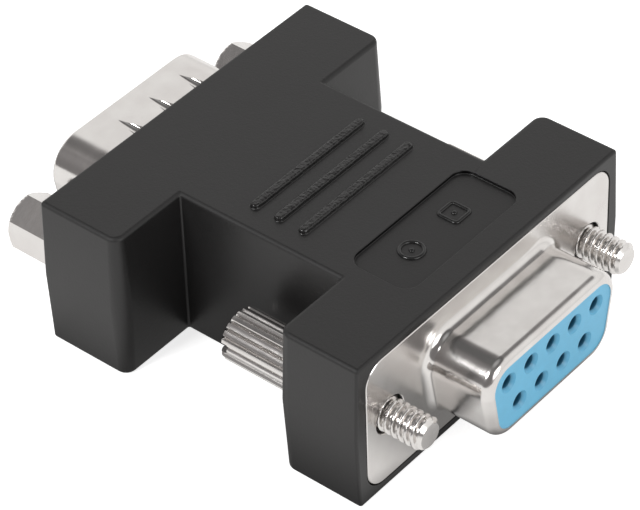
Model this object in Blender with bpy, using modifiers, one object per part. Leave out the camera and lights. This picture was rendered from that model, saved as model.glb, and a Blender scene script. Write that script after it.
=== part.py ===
"""Nine-way serial extension adapter: a D-shaped socket at one end and a D-shaped plug at the other.

The moulded body lies on its flat underside. X is its width, Y runs from the socket end at -Y to
the plug end at +Y, Z is up, and the origin is the centre of the underside. Inside each end, a
depth is measured inwards from the face of that end, so what stands proud has a negative depth.
"""

import math

import bmesh
import bpy
from mathutils import Matrix, Vector

MM = 0.001

# Contact pattern, the same at both ends
CONTACT_PITCH = 2.77 * MM
ROW_SPACING = 2.84 * MM
LONG_ROW_COUNT = 5
SHORT_ROW_COUNT = 4

# Screw fixings, the same at both ends
SCREW_SPACING = 24.99 * MM
SCREW_DIAMETER = 2.84 * MM
FLANGE_HOLE_DIAMETER = 3.3 * MM

# Drawn metal shells
SHELL_WALL = 0.5 * MM
FLANGE_EAR = 2.74 * MM
FLANGE_HEIGHT = 12.4 * MM
FLANGE_CORNER = 1.9 * MM
FLANGE_FILLET = 0.8 * MM
D_SIDE_ANGLE = math.radians(10.0)
SOCKET_SHROUD_WIDTH = 16.33 * MM
SOCKET_SHROUD_HEIGHT = 7.9 * MM
SOCKET_SHROUD_CORNER = 2.5 * MM
SOCKET_SHROUD_REACH = 5.93 * MM
SOCKET_RIM_ROLL = 0.8 * MM
PLUG_SHROUD_WIDTH = 17.92 * MM
PLUG_SHROUD_HEIGHT = 9.36 * MM
PLUG_SHROUD_CORNER = 2.9 * MM
PLUG_SHROUD_REACH = 6.0 * MM

# Wedge dimples pressed into the plug shroud
DIMPLE_PITCH = 3.73 * MM
DIMPLE_ROW_SHIFT = 0.9 * MM
DIMPLE_TIP_REACH = 4.1 * MM
DIMPLE_LENGTH = 2.9 * MM
DIMPLE_HALF_WIDTH = 0.6 * MM
DIMPLE_DEPTH = 0.42 * MM
DIMPLE_BACKING = 0.45 * MM
UPPER_DIMPLE_COUNT = 3
LOWER_DIMPLE_COUNT = 2

# Rear shells and the space for them in the moulding
REAR_SHELL_SIDE = 0.7 * MM
REAR_SHELL_CORNER = 1.6 * MM
REAR_SHELL_LIP = 1.4 * MM
MOULDING_BEHIND_SHELL = 0.9 * MM

# Moulded body
RIM_AT_SIDES = 1.29 * MM
RIM_AT_TOP = 0.85 * MM
BODY_LENGTH = 31.6 * MM
SOCKET_FLANGE_DEPTH = 7.85 * MM
PLUG_FLANGE_DEPTH = 8.25 * MM
NECK_WALL = 2.05 * MM
MOULD_DRAFT = 0.45 * MM
EDGE_ROUND = 0.35 * MM
FACE_EDGE_ROUND = 0.25 * MM
FLANGE_EDGE_ROUND = 1.3 * MM
NECK_FILLET = 0.5 * MM

# Finger ribs and label panel on top of the body
RIB_COUNT = 3
RIB_PITCH = 2.43 * MM
RIB_LENGTH = 13.3 * MM
RIB_WIDTH = 0.8 * MM
RIB_HEIGHT = 0.35 * MM
RIB_ROUND = 0.2 * MM
LABEL_WIDTH = 14.2 * MM
LABEL_LENGTH = 5.95 * MM
LABEL_FROM_SOCKET_FACE = 2.4 * MM
LABEL_CORNER = 1.3 * MM
LABEL_DEPTH = 0.3 * MM

# Socket insulator and its contact holes
SOCKET_FACE_SINK = 0.08 * MM
CONTACT_HOLE_DIAMETER = 1.2 * MM
COUNTERSINK_DIAMETER = 1.75 * MM
COUNTERSINK_DEPTH = 0.3 * MM
HOLE_WEB = 1.1 * MM

# Plug insulator
PLUG_FACE_RISE = 0.4 * MM
PIN_SHOULDER_DEPTH = 1.3 * MM

# Turned contacts
SOCKET_BARREL_DIAMETER = 1.6 * MM
SOCKET_BORE_DIAMETER = 1.08 * MM
SOCKET_BORE_DEPTH = 5.4 * MM
PIN_DIAMETER = 1.0 * MM
PIN_BEHIND_RIM = 0.6 * MM
PIN_BARREL_DIAMETER = 1.5 * MM
CONTACT_TAIL_LENGTH = 2.2 * MM
SOLDER_CUP_DEPTH = 1.6 * MM
SOLDER_CUP_WALL = 0.2 * MM

# Wires and the block moulded round them
MOULD_WALL = 0.6 * MM
MOULD_HEIGHT_WALL = 2.3 * MM
MOULD_CORNER = 1.2 * MM

# Thumbscrews
THREAD_REACH = 3.8 * MM
THREAD_INSIDE = 1.5 * MM
THREAD_CHAMFER = 0.35 * MM
SCREW_NECK_DIAMETER = 2.1 * MM
RETAINING_LIP_LENGTH = 4.0 * MM
KNOB_DIAMETER = 4.55 * MM
KNOB_LENGTH = 7.0 * MM
KNOB_CHAMFER = 0.3 * MM
KNURL_TEETH = 20
KNURL_DEPTH = 0.25 * MM
SLOT_WIDTH = 0.8 * MM
SLOT_DEPTH = 0.8 * MM
SLOT_ANGLE = math.radians(5.0)

# Jack nuts and the nuts moulded in behind them
JACK_ACROSS_FLATS = 4.5 * MM
JACK_LENGTH = 5.5 * MM
JACK_CHAMFER = 0.35 * MM
JACK_BORE_DIAMETER = 2.3 * MM
JACK_BORE_DEPTH = 4.6 * MM
JACK_TURN = math.radians(18.0)
STUD_END_DEPTH = 5.2 * MM
ANCHOR_THICKNESS = 1.7 * MM
ANCHOR_ACROSS_FLATS = 4.4 * MM

# Clearances
FIT_GAP = 0.1 * MM
RUNNING_GAP = 0.15 * MM

# Points closer than this are one point
WELD = 0.0001 * MM

# Edges sharper than this are shaded as edges
SHARP_EDGE = math.radians(35.0)

# Facets
CORNER_STEPS = 6
HIDDEN_CORNER_STEPS = 3
BEND_STEPS = 3
BODY_CORNER_STEPS = 4
HOLE_STEPS = 16
CONTACT_STEPS = 10
SLEEVE_STEPS = 8
SHANK_STEPS = 18
WIRE_RESOLUTION = 2

# Values that follow
SOCKET = -1
PLUG = 1
FLANGE_WIDTH = SCREW_SPACING + 2 * FLANGE_EAR
BODY_WIDTH = FLANGE_WIDTH + 2 * RIM_AT_SIDES
BODY_HEIGHT = FLANGE_HEIGHT + 2 * RIM_AT_TOP
AXIS_Z = BODY_HEIGHT / 2
TAIL_DIAMETER = PIN_BARREL_DIAMETER
WIRE_DIAMETER = TAIL_DIAMETER - 2 * SOLDER_CUP_WALL - 2 * FIT_GAP
TAIL_HOLE_DIAMETER = TAIL_DIAMETER + 2 * FIT_GAP
MOULD_WIDTH = (LONG_ROW_COUNT - 1) * CONTACT_PITCH + TAIL_HOLE_DIAMETER + 2 * MOULD_WALL
MOULD_HEIGHT = ROW_SPACING + TAIL_HOLE_DIAMETER + 2 * MOULD_HEIGHT_WALL
NECK_WIDTH = MOULD_WIDTH + 2 * FIT_GAP + 2 * NECK_WALL
REAR_SHELL_WIDTH = PLUG_SHROUD_WIDTH + 2 * REAR_SHELL_SIDE
REAR_SHELL_HEIGHT = PLUG_SHROUD_HEIGHT + 2 * REAR_SHELL_SIDE
REAR_FLANGE_DEPTH = SHELL_WALL + FIT_GAP
SEAT_DEPTH = REAR_FLANGE_DEPTH + SHELL_WALL + FIT_GAP
FLANGE_DEPTHS = {SOCKET: SOCKET_FLANGE_DEPTH, PLUG: PLUG_FLANGE_DEPTH}
NECK_MIDDLE_Y = (SOCKET_FLANGE_DEPTH - PLUG_FLANGE_DEPTH) / 2
SIDES = {"left": -1, "right": 1}

PARTS_NAME = "serial_extension_adapter"
CUTTERS_NAME = "cutters"


def clear_scene():
    """Remove every object, and make the two collections that the model uses."""
    for old in list(bpy.data.objects):
        bpy.data.objects.remove(old, do_unlink=True)
    for name in (PARTS_NAME, CUTTERS_NAME):
        collection = bpy.data.collections.new(name)
        bpy.context.scene.collection.children.link(collection)


def material(name, colour, roughness, metallic=0.0):
    """Principled material of one colour."""
    made = bpy.data.materials.new(name)
    made.use_nodes = True
    shader = made.node_tree.nodes["Principled BSDF"]
    shader.inputs["Base Color"].default_value = (*colour, 1.0)
    shader.inputs["Roughness"].default_value = roughness
    shader.inputs["Metallic"].default_value = metallic
    return made


def nickel(name):
    """Bright nickel plating."""
    return material(name, (0.78, 0.76, 0.73), 0.22, 1.0)


def gold(name):
    """Gold flash on a turned contact."""
    return material(name, (0.86, 0.66, 0.28), 0.25, 1.0)


def depth_y(end, depth):
    """World Y of a plane at a depth behind the face of one end."""
    return end * (BODY_LENGTH / 2 - depth)


def contact_places():
    """Centres (x, z) of the contacts in number order, the long row first, from +X to -X."""
    places = []
    for count, z in ((LONG_ROW_COUNT, ROW_SPACING / 2), (SHORT_ROW_COUNT, -ROW_SPACING / 2)):
        first = (count - 1) * CONTACT_PITCH / 2
        places += [(first - i * CONTACT_PITCH, AXIS_Z + z) for i in range(count)]
    return places


def arc(centre_x, centre_z, radius, start, stop, steps):
    """Points of an arc, both ends included."""
    turn = (stop - start) / steps
    return [
        (centre_x + radius * math.cos(start + i * turn), centre_z + radius * math.sin(start + i * turn))
        for i in range(steps + 1)
    ]


def rounded_rectangle(width, height, radius, grow=0.0, steps=CORNER_STEPS):
    """Outline of a rounded rectangle, or of one that lies outside it by grow."""
    centre_x = width / 2 - radius
    centre_z = height / 2 - radius
    quarter = math.pi / 2
    points = []
    for i, (side_x, side_z) in enumerate(((1, 1), (-1, 1), (-1, -1), (1, -1))):
        points += arc(side_x * centre_x, side_z * centre_z, radius + grow,
                      i * quarter, (i + 1) * quarter, steps)
    return points


def d_outline(width, height, radius, grow=0.0):
    """D outline, wide side up, both sides leaning in downwards by D_SIDE_ANGLE."""
    top_x = width / 2 - radius
    centre_z = height / 2 - radius
    bottom_x = top_x - 2 * centre_z * math.tan(D_SIDE_ANGLE)
    quarter = math.pi / 2
    corners = (
        (top_x, centre_z, -D_SIDE_ANGLE, quarter),
        (-top_x, centre_z, quarter, 2 * quarter + D_SIDE_ANGLE),
        (-bottom_x, -centre_z, 2 * quarter + D_SIDE_ANGLE, 3 * quarter),
        (bottom_x, -centre_z, 3 * quarter, 4 * quarter - D_SIDE_ANGLE),
    )
    points = []
    for centre_x, z, start, stop in corners:
        points += arc(centre_x, z, radius + grow, start, stop, CORNER_STEPS)
    return points


def socket_outline(grow):
    """Outer outline of the socket shroud, grown by an amount."""
    return d_outline(SOCKET_SHROUD_WIDTH, SOCKET_SHROUD_HEIGHT, SOCKET_SHROUD_CORNER, grow)


def plug_outline(grow):
    """Outer outline of the plug shroud, grown by an amount."""
    return d_outline(PLUG_SHROUD_WIDTH, PLUG_SHROUD_HEIGHT, PLUG_SHROUD_CORNER, grow)


def flange_outline(grow=0.0, steps=CORNER_STEPS):
    """Outline of a shell flange."""
    return rounded_rectangle(FLANGE_WIDTH, FLANGE_HEIGHT, FLANGE_CORNER, grow, steps)


def rear_shell_outline(grow=0.0, steps=HIDDEN_CORNER_STEPS):
    """Outline of the box of a rear shell."""
    return rounded_rectangle(REAR_SHELL_WIDTH, REAR_SHELL_HEIGHT, REAR_SHELL_CORNER, grow, steps)


def inner_mould_outline(grow=0.0):
    """Outline of the block moulded round the wires."""
    return rounded_rectangle(MOULD_WIDTH, MOULD_HEIGHT, MOULD_CORNER, grow, HIDDEN_CORNER_STEPS)


def loft_mesh(name, rings, closed=False):
    """Mesh through rings of equally many points, capped at both ends or closed on itself."""
    shape = bmesh.new()
    loops = [[shape.verts.new(point) for point in ring] for ring in rings]
    pairs = list(zip(loops, loops[1:]))
    if closed:
        pairs.append((loops[-1], loops[0]))
    else:
        shape.faces.new(loops[0])
        shape.faces.new(loops[-1])
    for first, second in pairs:
        for i in range(len(first)):
            j = (i + 1) % len(first)
            shape.faces.new((first[i], first[j], second[j], second[i]))
    bmesh.ops.remove_doubles(shape, verts=shape.verts, dist=WELD)
    bmesh.ops.recalc_face_normals(shape, faces=shape.faces)
    mesh = bpy.data.meshes.new(name)
    shape.to_mesh(mesh)
    shape.free()
    return mesh


def end_rings(end, sections):
    """Rings round the connector axis, from (outline, depth) pairs of one end."""
    return [[(x, depth_y(end, depth), AXIS_Z + z) for x, z in outline] for outline, depth in sections]


def turned_mesh(name, profile, steps):
    """Turned mesh about the Y axis; profile holds (radius, y) from the +Y end to the -Y end."""
    line = bpy.data.meshes.new(name)
    points = [(radius, 0.0, y) for radius, y in profile]
    line.from_pydata(points, [(i, i + 1) for i in range(len(points) - 1)], [])
    lathe = bpy.data.objects.new(name, line)
    bpy.context.scene.collection.objects.link(lathe)
    screw = lathe.modifiers.new("turn", "SCREW")
    screw.axis = "Z"
    screw.steps = steps
    screw.render_steps = steps
    screw.use_merge_vertices = True
    screw.merge_threshold = WELD
    graph = bpy.context.evaluated_depsgraph_get()
    mesh = bpy.data.meshes.new_from_object(lathe.evaluated_get(graph))
    mesh.transform(Matrix.Rotation(-math.pi / 2, 4, "X"))
    mesh.name = name
    bpy.data.objects.remove(lathe, do_unlink=True)
    bpy.data.meshes.remove(line)
    return mesh


def cylinder_mesh(name, radius, low_y, high_y, steps):
    """Plain cylinder about the Y axis."""
    profile = [(0.0, high_y), (radius, high_y), (radius, low_y), (0.0, low_y)]
    return turned_mesh(name, profile, steps)


def hexagon_mesh(name, across_flats, low_y, high_y):
    """Hexagonal prism about the Y axis, with two flats upright."""
    shape = bmesh.new()
    radius = across_flats / math.sqrt(3)
    bmesh.ops.create_cone(shape, cap_ends=True, segments=6, radius1=radius, radius2=radius,
                          depth=high_y - low_y)
    middle = Matrix.Translation((0.0, (low_y + high_y) / 2, 0.0))
    upright = Matrix.Rotation(-math.pi / 2, 4, "X")
    corner_up = Matrix.Rotation(math.pi / 6, 4, "Y") if on_flat(shape) else Matrix.Identity(4)
    bmesh.ops.transform(shape, matrix=middle @ corner_up @ upright, verts=shape.verts)
    mesh = bpy.data.meshes.new(name)
    shape.to_mesh(mesh)
    shape.free()
    return mesh


def on_flat(shape):
    """Whether a prism along Z has no corner on its Y axis."""
    return all(abs(vert.co.x) > WELD for vert in shape.verts)


def box_mesh(name, size, centre):
    """Box of a size about a centre."""
    shape = bmesh.new()
    bmesh.ops.create_cube(shape, size=1.0, matrix=Matrix.Translation(centre) @ Matrix.Diagonal((*size, 1.0)))
    mesh = bpy.data.meshes.new(name)
    shape.to_mesh(mesh)
    shape.free()
    return mesh


def repeated_mesh(name, mesh, places):
    """One mesh that holds a copy of another at each (x, z) place."""
    shape = bmesh.new()
    for x, z in places:
        copy = bmesh.new()
        copy.from_mesh(mesh)
        bmesh.ops.translate(copy, verts=copy.verts, vec=Vector((x, 0.0, z)))
        placed = bpy.data.meshes.new(name)
        copy.to_mesh(placed)
        copy.free()
        shape.from_mesh(placed)
        bpy.data.meshes.remove(placed)
    made = bpy.data.meshes.new(name)
    shape.to_mesh(made)
    shape.free()
    return made


def add_part(name, mesh, finish, location=(0.0, 0.0, 0.0)):
    """Object of the adapter, shaded smooth up to a sharp edge."""
    part = bpy.data.objects.new(name, mesh)
    part.location = location
    bpy.data.collections[PARTS_NAME].objects.link(part)
    mesh.materials.clear()
    mesh.materials.append(finish)
    mesh.shade_smooth()
    mesh.set_sharp_from_angle(angle=SHARP_EDGE)
    return part


def add_cutter(name, mesh, location=(0.0, 0.0, 0.0)):
    """Helper body that shapes a part and isn't one itself."""
    cutter = bpy.data.objects.new(name, mesh)
    cutter.location = location
    cutter.hide_render = True
    cutter.display_type = "WIRE"
    bpy.data.collections[CUTTERS_NAME].objects.link(cutter)
    return cutter


def combine(part, operation, helper):
    """Union, difference or intersection of a part with a helper body."""
    step = part.modifiers.new(helper.name, "BOOLEAN")
    step.operation = operation
    step.solver = "EXACT"
    step.object = helper


def body_outline(side_inset, face_inset, z):
    """Plan outline of the moulding at one height, drawn in from its widest size."""
    outer = BODY_WIDTH / 2 - side_inset
    neck = NECK_WIDTH / 2 - side_inset
    socket_face = depth_y(SOCKET, face_inset)
    socket_back = depth_y(SOCKET, SOCKET_FLANGE_DEPTH - side_inset)
    plug_back = depth_y(PLUG, PLUG_FLANGE_DEPTH - side_inset)
    plug_face = depth_y(PLUG, face_inset)
    least = FACE_EDGE_ROUND / 4
    face_round = max(FACE_EDGE_ROUND - face_inset, least)
    back_round = max(FLANGE_EDGE_ROUND - side_inset, least)
    half = (
        (outer, socket_face, face_round), (outer, socket_back, back_round), (neck, socket_back, NECK_FILLET),
        (neck, plug_back, NECK_FILLET), (outer, plug_back, back_round), (outer, plug_face, face_round),
    )
    corners = list(half) + [(-x, y, radius) for x, y, radius in reversed(half)]
    points = []
    for i, (x, y, radius) in enumerate(corners):
        here = Vector((x, y))
        before = (Vector(corners[i - 1][:2]) - here).normalized()
        after = (Vector(corners[(i + 1) % len(corners)][:2]) - here).normalized()
        centre = here + radius * (before + after)
        for k in range(BODY_CORNER_STEPS + 1):
            turn = k / BODY_CORNER_STEPS * math.pi / 2
            point = centre - radius * (after * math.cos(turn) + before * math.sin(turn))
            points.append((point.x, point.y, z))
    return points


def edge_inset(radius, height):
    """How far a rounded edge of a radius is drawn in at a height above or below its face."""
    if height >= radius:
        return 0.0
    return radius - math.sqrt(radius ** 2 - (radius - height) ** 2)


def body_rings():
    """Rings of the moulding from its underside to its top, drafted from the mid-height split."""
    levels = [EDGE_ROUND * (1 - math.cos(i / BEND_STEPS * math.pi / 2)) for i in range(BEND_STEPS + 1)]
    heights = levels + [BODY_HEIGHT / 2] + [BODY_HEIGHT - level for level in reversed(levels)]
    rings = []
    for z in heights:
        from_face = min(z, BODY_HEIGHT - z)
        draft = MOULD_DRAFT * (1 - from_face / (BODY_HEIGHT / 2))
        side = draft + edge_inset(EDGE_ROUND, from_face)
        rings.append(body_outline(side, edge_inset(FACE_EDGE_ROUND, from_face), z))
    return rings


def flat_rings(outline_at, centre_y, levels):
    """Rings of an upright block on the XY plane, from (grow, z) levels."""
    return [[(x, centre_y + y, z) for x, y in outline_at(grow)] for grow, z in levels]


def rib_mesh():
    """Finger ribs across the top of the body, with rounded ends and tops."""
    def outline(grow):
        return rounded_rectangle(RIB_LENGTH, RIB_WIDTH, RIB_WIDTH / 2, grow, BEND_STEPS)

    top = BODY_HEIGHT + RIB_HEIGHT
    levels = [(0.0, BODY_HEIGHT - RIB_HEIGHT), (0.0, top - RIB_ROUND)]
    levels += [
        (-RIB_ROUND * (1 - math.cos(i / BEND_STEPS * math.pi / 2)),
         top - RIB_ROUND * (1 - math.sin(i / BEND_STEPS * math.pi / 2)))
        for i in range(1, BEND_STEPS + 1)
    ]
    shape = bmesh.new()
    for i in range(RIB_COUNT):
        centre_y = NECK_MIDDLE_Y + (i - (RIB_COUNT - 1) / 2) * RIB_PITCH
        shape.from_mesh(loft_mesh("rib", flat_rings(outline, centre_y, levels)))
    mesh = bpy.data.meshes.new("ribs")
    shape.to_mesh(mesh)
    shape.free()
    return mesh


def label_mesh():
    """Space of the shallow label panel."""
    def outline(grow):
        return rounded_rectangle(LABEL_WIDTH, LABEL_LENGTH, LABEL_CORNER, grow)

    centre_y = depth_y(SOCKET, LABEL_FROM_SOCKET_FACE + LABEL_LENGTH / 2)
    levels = [(0.0, BODY_HEIGHT - LABEL_DEPTH), (0.0, BODY_HEIGHT + LABEL_DEPTH)]
    return loft_mesh("label_space", flat_rings(outline, centre_y, levels))


def end_space(name, end, outline, depth):
    """Space of an outline that runs in from outside one end to a depth."""
    return loft_mesh(name, end_rings(end, [(outline, -FLANGE_HEIGHT), (outline, depth)]))


def rear_shell_end(end):
    """Depth at which the rear shell of one end stops."""
    return FLANGE_DEPTHS[end] - MOULDING_BEHIND_SHELL - FIT_GAP


def screw_bore_mesh():
    """Stepped bore of a thumbscrew: wide for its thread, narrow at the lip that keeps it in."""
    wide = FLANGE_HOLE_DIAMETER / 2
    narrow = SCREW_NECK_DIAMETER / 2 + RUNNING_GAP
    outside = depth_y(SOCKET, -FLANGE_HEIGHT)
    lip = depth_y(SOCKET, SOCKET_FLANGE_DEPTH - RETAINING_LIP_LENGTH)
    behind = depth_y(SOCKET, SOCKET_FLANGE_DEPTH + RETAINING_LIP_LENGTH)
    profile = [(0.0, behind), (narrow, behind), (narrow, lip), (wide, lip), (wide, outside), (0.0, outside)]
    return turned_mesh("screw_bore", profile, SHANK_STEPS)


def overmould_body():
    """Black moulding: H-shaped in plan, ribbed, with spaces for both connectors and the wires."""
    finish = material("black_moulding", (0.018, 0.018, 0.019), 0.45)
    body = add_part("overmould_body", loft_mesh("overmould_body", body_rings()), finish)
    combine(body, "UNION", add_cutter("finger_ribs", rib_mesh()))
    combine(body, "DIFFERENCE", add_cutter("label_space", label_mesh()))
    for end, word in ((SOCKET, "socket"), (PLUG, "plug")):
        seat = end_space(f"{word}_seat", end, flange_outline(FIT_GAP), SEAT_DEPTH)
        combine(body, "DIFFERENCE", add_cutter(f"{word}_seat", seat))
        pocket = end_space(f"{word}_pocket", end, rear_shell_outline(FIT_GAP), rear_shell_end(end) + FIT_GAP)
        combine(body, "DIFFERENCE", add_cutter(f"{word}_pocket", pocket))
    tunnel = end_space("tunnel", SOCKET, inner_mould_outline(FIT_GAP), BODY_LENGTH + FLANGE_HEIGHT)
    combine(body, "DIFFERENCE", add_cutter("tunnel", tunnel))
    anchor_end = SEAT_DEPTH + ANCHOR_THICKNESS + FIT_GAP
    for word, side in SIDES.items():
        axis = (side * SCREW_SPACING / 2, 0.0, AXIS_Z)
        combine(body, "DIFFERENCE", add_cutter(f"screw_bore_{word}", screw_bore_mesh(), axis))
        stud = cylinder_mesh("stud_bore", SCREW_DIAMETER / 2 + FIT_GAP,
                             depth_y(PLUG, STUD_END_DEPTH + FIT_GAP), depth_y(PLUG, -FLANGE_HEIGHT),
                             SHANK_STEPS)
        combine(body, "DIFFERENCE", add_cutter(f"stud_bore_{word}", stud, axis))
        pocket = hexagon_mesh("anchor_pocket", ANCHOR_ACROSS_FLATS + 2 * FIT_GAP,
                              depth_y(PLUG, anchor_end), depth_y(PLUG, -FLANGE_HEIGHT))
        combine(body, "DIFFERENCE", add_cutter(f"anchor_pocket_{word}", pocket, axis))


def quarter_turn(steps):
    """Angles of a quarter turn, both ends included."""
    return [i / steps * math.pi / 2 for i in range(steps + 1)]


def shell_sections(outline_at, reach, roll):
    """Sections of a drawn shell: flange, bend, shroud, rim, then back down the inside."""
    wall = SHELL_WALL
    bend = FLANGE_FILLET
    sections = [(flange_outline(), wall), (flange_outline(), 0.0)]
    sections += [
        (outline_at(bend - bend * math.sin(turn)), -bend + bend * math.cos(turn))
        for turn in quarter_turn(BEND_STEPS)
    ]
    if roll:
        start = -(reach - roll)
        rim = [(roll, turn) for turn in quarter_turn(BEND_STEPS)]
        rim += [(roll - wall, turn) for turn in reversed(quarter_turn(BEND_STEPS))]
        sections += [
            (outline_at(-roll + radius * math.cos(turn)), start - radius * math.sin(turn))
            for radius, turn in rim
        ]
    else:
        start = -(reach - wall / 2)
        sections += [
            (outline_at(-wall / 2 + wall / 2 * math.cos(2 * turn)), start - wall / 2 * math.sin(2 * turn))
            for turn in quarter_turn(BEND_STEPS + 1)
        ]
    sections += [
        (outline_at(bend - (bend + wall) * math.sin(turn)), -bend + (bend + wall) * math.cos(turn))
        for turn in reversed(quarter_turn(BEND_STEPS))
    ]
    return sections


def cut_flange_holes(shell, word):
    """Clearance holes for the screws through both ears of a flange."""
    for side_word, side in SIDES.items():
        hole = cylinder_mesh("flange_hole", FLANGE_HOLE_DIAMETER / 2, -BODY_LENGTH, BODY_LENGTH, SHANK_STEPS)
        place = (side * SCREW_SPACING / 2, 0.0, AXIS_Z)
        combine(shell, "DIFFERENCE", add_cutter(f"{word}_hole_{side_word}", hole, place))


def dimple_mesh(name, half_width, depth):
    """Wedge with a rounded blunt end, its tip towards the rim, lying in the plane z = 0."""
    blunt_end = DIMPLE_LENGTH - half_width
    profile = [(0.0, DIMPLE_LENGTH), (1.0, half_width)]
    profile += [(math.cos(turn), half_width * (1 - math.sin(turn))) for turn in quarter_turn(BEND_STEPS)[1:]]
    mesh = turned_mesh(name, [(radius, y) for radius, y in profile], HOLE_STEPS)
    mesh.transform(Matrix.Diagonal((half_width, 1.0, depth, 1.0)))
    tip_y = depth_y(PLUG, -DIMPLE_TIP_REACH)
    mesh.transform(Matrix.Translation((0.0, tip_y - blunt_end - half_width, 0.0)))
    return mesh


def press_dimples(shell):
    """Dimples of the plug shroud: dented from outside, with the metal pushed through inside."""
    half_height = PLUG_SHROUD_HEIGHT / 2
    rows = ((1, UPPER_DIMPLE_COUNT, DIMPLE_ROW_SHIFT), (-1, LOWER_DIMPLE_COUNT, 0.0))
    steps = (("UNION", "backing", half_height - SHELL_WALL, DIMPLE_BACKING),
             ("DIFFERENCE", "dent", half_height, DIMPLE_DEPTH))
    for operation, word, height, depth in steps:
        mesh = dimple_mesh(word, DIMPLE_HALF_WIDTH, depth)
        places = []
        for side, count, shift in rows:
            places += [
                (shift + (i - (count - 1) / 2) * DIMPLE_PITCH, AXIS_Z + side * height) for i in range(count)
            ]
        combine(shell, operation, add_cutter(f"dimple_{word}s", repeated_mesh(word, mesh, places)))


def front_shells():
    """Drawn front shells of both connectors."""
    socket = loft_mesh("socket_front_shell", end_rings(
        SOCKET, shell_sections(socket_outline, SOCKET_SHROUD_REACH, SOCKET_RIM_ROLL)), closed=True)
    socket_shell = add_part("socket_front_shell", socket, nickel("socket_shell_nickel"))
    cut_flange_holes(socket_shell, "socket_front")
    plug = loft_mesh("plug_front_shell", end_rings(
        PLUG, shell_sections(plug_outline, PLUG_SHROUD_REACH, 0.0)), closed=True)
    plug_shell = add_part("plug_front_shell", plug, nickel("plug_shell_nickel"))
    press_dimples(plug_shell)
    cut_flange_holes(plug_shell, "plug_front")


def rear_shell(word, end):
    """Pressed rear shell: a flange behind the front one, and a box with a lip that holds the insulator."""
    wall = SHELL_WALL
    front = REAR_FLANGE_DEPTH
    back = rear_shell_end(end)
    flange = flange_outline(steps=HIDDEN_CORNER_STEPS)
    box = rear_shell_outline()
    inside = rear_shell_outline(-wall)
    window = rear_shell_outline(-REAR_SHELL_LIP)
    ease = wall / 2
    sections = [
        (flange, front), (flange, front + wall), (box, front + wall), (box, back - ease),
        (rear_shell_outline(-ease), back), (window, back), (window, back - wall), (inside, back - wall),
        (inside, front),
    ]
    name = f"{word}_rear_shell"
    mesh = loft_mesh(name, end_rings(end, sections), closed=True)
    shell = add_part(name, mesh, nickel(f"{word}_rear_nickel"))
    cut_flange_holes(shell, f"{word}_rear")


def insulator_block(end):
    """Sections of the part of an insulator that sits inside its rear shell, back to front."""
    block = rear_shell_outline(-SHELL_WALL - FIT_GAP, CORNER_STEPS)
    return [(block, rear_shell_end(end) - SHELL_WALL - FIT_GAP), (block, REAR_FLANGE_DEPTH)]


def drill_contact_holes(part, word, end, bands, facets):
    """Nine stepped holes through an insulator, from (diameter, depth) bands, outermost first."""
    profile = [(0.0, bands[0][1])]
    profile += [(diameter / 2, depth) for diameter, depth in bands]
    profile += [(0.0, bands[-1][1])]
    turned = [(radius, depth_y(end, depth)) for radius, depth in profile]
    if end == SOCKET:
        turned.reverse()
    mesh = turned_mesh(f"{word}_hole", turned, facets)
    drill = repeated_mesh(f"{word}_contact_holes", mesh, contact_places())
    combine(part, "DIFFERENCE", add_cutter(f"{word}_contact_holes", drill))


def socket_insulator():
    """Blue insulator: a block in the rear shell and a D nose that fills the shroud."""
    front = -(SOCKET_SHROUD_REACH - SOCKET_FACE_SINK)
    shoulder = -(SOCKET_SHROUD_REACH - SOCKET_RIM_ROLL)
    nose = socket_outline(-SHELL_WALL - FIT_GAP)
    face = socket_outline(-SOCKET_RIM_ROLL - FIT_GAP)
    sections = insulator_block(SOCKET) + [
        (nose, REAR_FLANGE_DEPTH), (nose, shoulder + SOCKET_RIM_ROLL - SHELL_WALL + FIT_GAP),
        (face, shoulder), (face, front),
    ]
    name = "socket_insulator"
    finish = material("blue_insulator", (0.14, 0.46, 0.76), 0.4)
    part = add_part(name, loft_mesh(name, end_rings(SOCKET, sections)), finish)
    cavity = SOCKET_BARREL_DIAMETER + 2 * FIT_GAP
    drill_contact_holes(part, "socket", SOCKET, (
        (2 * COUNTERSINK_DIAMETER - CONTACT_HOLE_DIAMETER, front - COUNTERSINK_DEPTH),
        (CONTACT_HOLE_DIAMETER, front + COUNTERSINK_DEPTH),
        (CONTACT_HOLE_DIAMETER, front + HOLE_WEB),
        (cavity, front + HOLE_WEB),
        (cavity, SOCKET_FLANGE_DEPTH),
    ), HOLE_STEPS)


def plug_insulator():
    """Insulator that carries the pins, its D face just proud of the flange inside the shroud."""
    nose = plug_outline(-SHELL_WALL - FIT_GAP)
    sections = insulator_block(PLUG) + [(nose, REAR_FLANGE_DEPTH), (nose, -PLUG_FACE_RISE)]
    name = "plug_insulator"
    finish = material("plug_insulator_black", (0.02, 0.02, 0.022), 0.45)
    part = add_part(name, loft_mesh(name, end_rings(PLUG, sections)), finish)
    pin_hole = PIN_DIAMETER + 2 * FIT_GAP
    cavity = PIN_BARREL_DIAMETER + 2 * FIT_GAP
    drill_contact_holes(part, "plug", PLUG, (
        (pin_hole, -PLUG_FACE_RISE - PIN_SHOULDER_DEPTH),
        (pin_hole, PIN_SHOULDER_DEPTH - FIT_GAP),
        (cavity, PIN_SHOULDER_DEPTH - FIT_GAP),
        (cavity, PLUG_FLANGE_DEPTH),
    ), CONTACT_STEPS)


def tail_end(end):
    """Depth at which the tail of a contact stops."""
    return rear_shell_end(end) + CONTACT_TAIL_LENGTH


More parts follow.
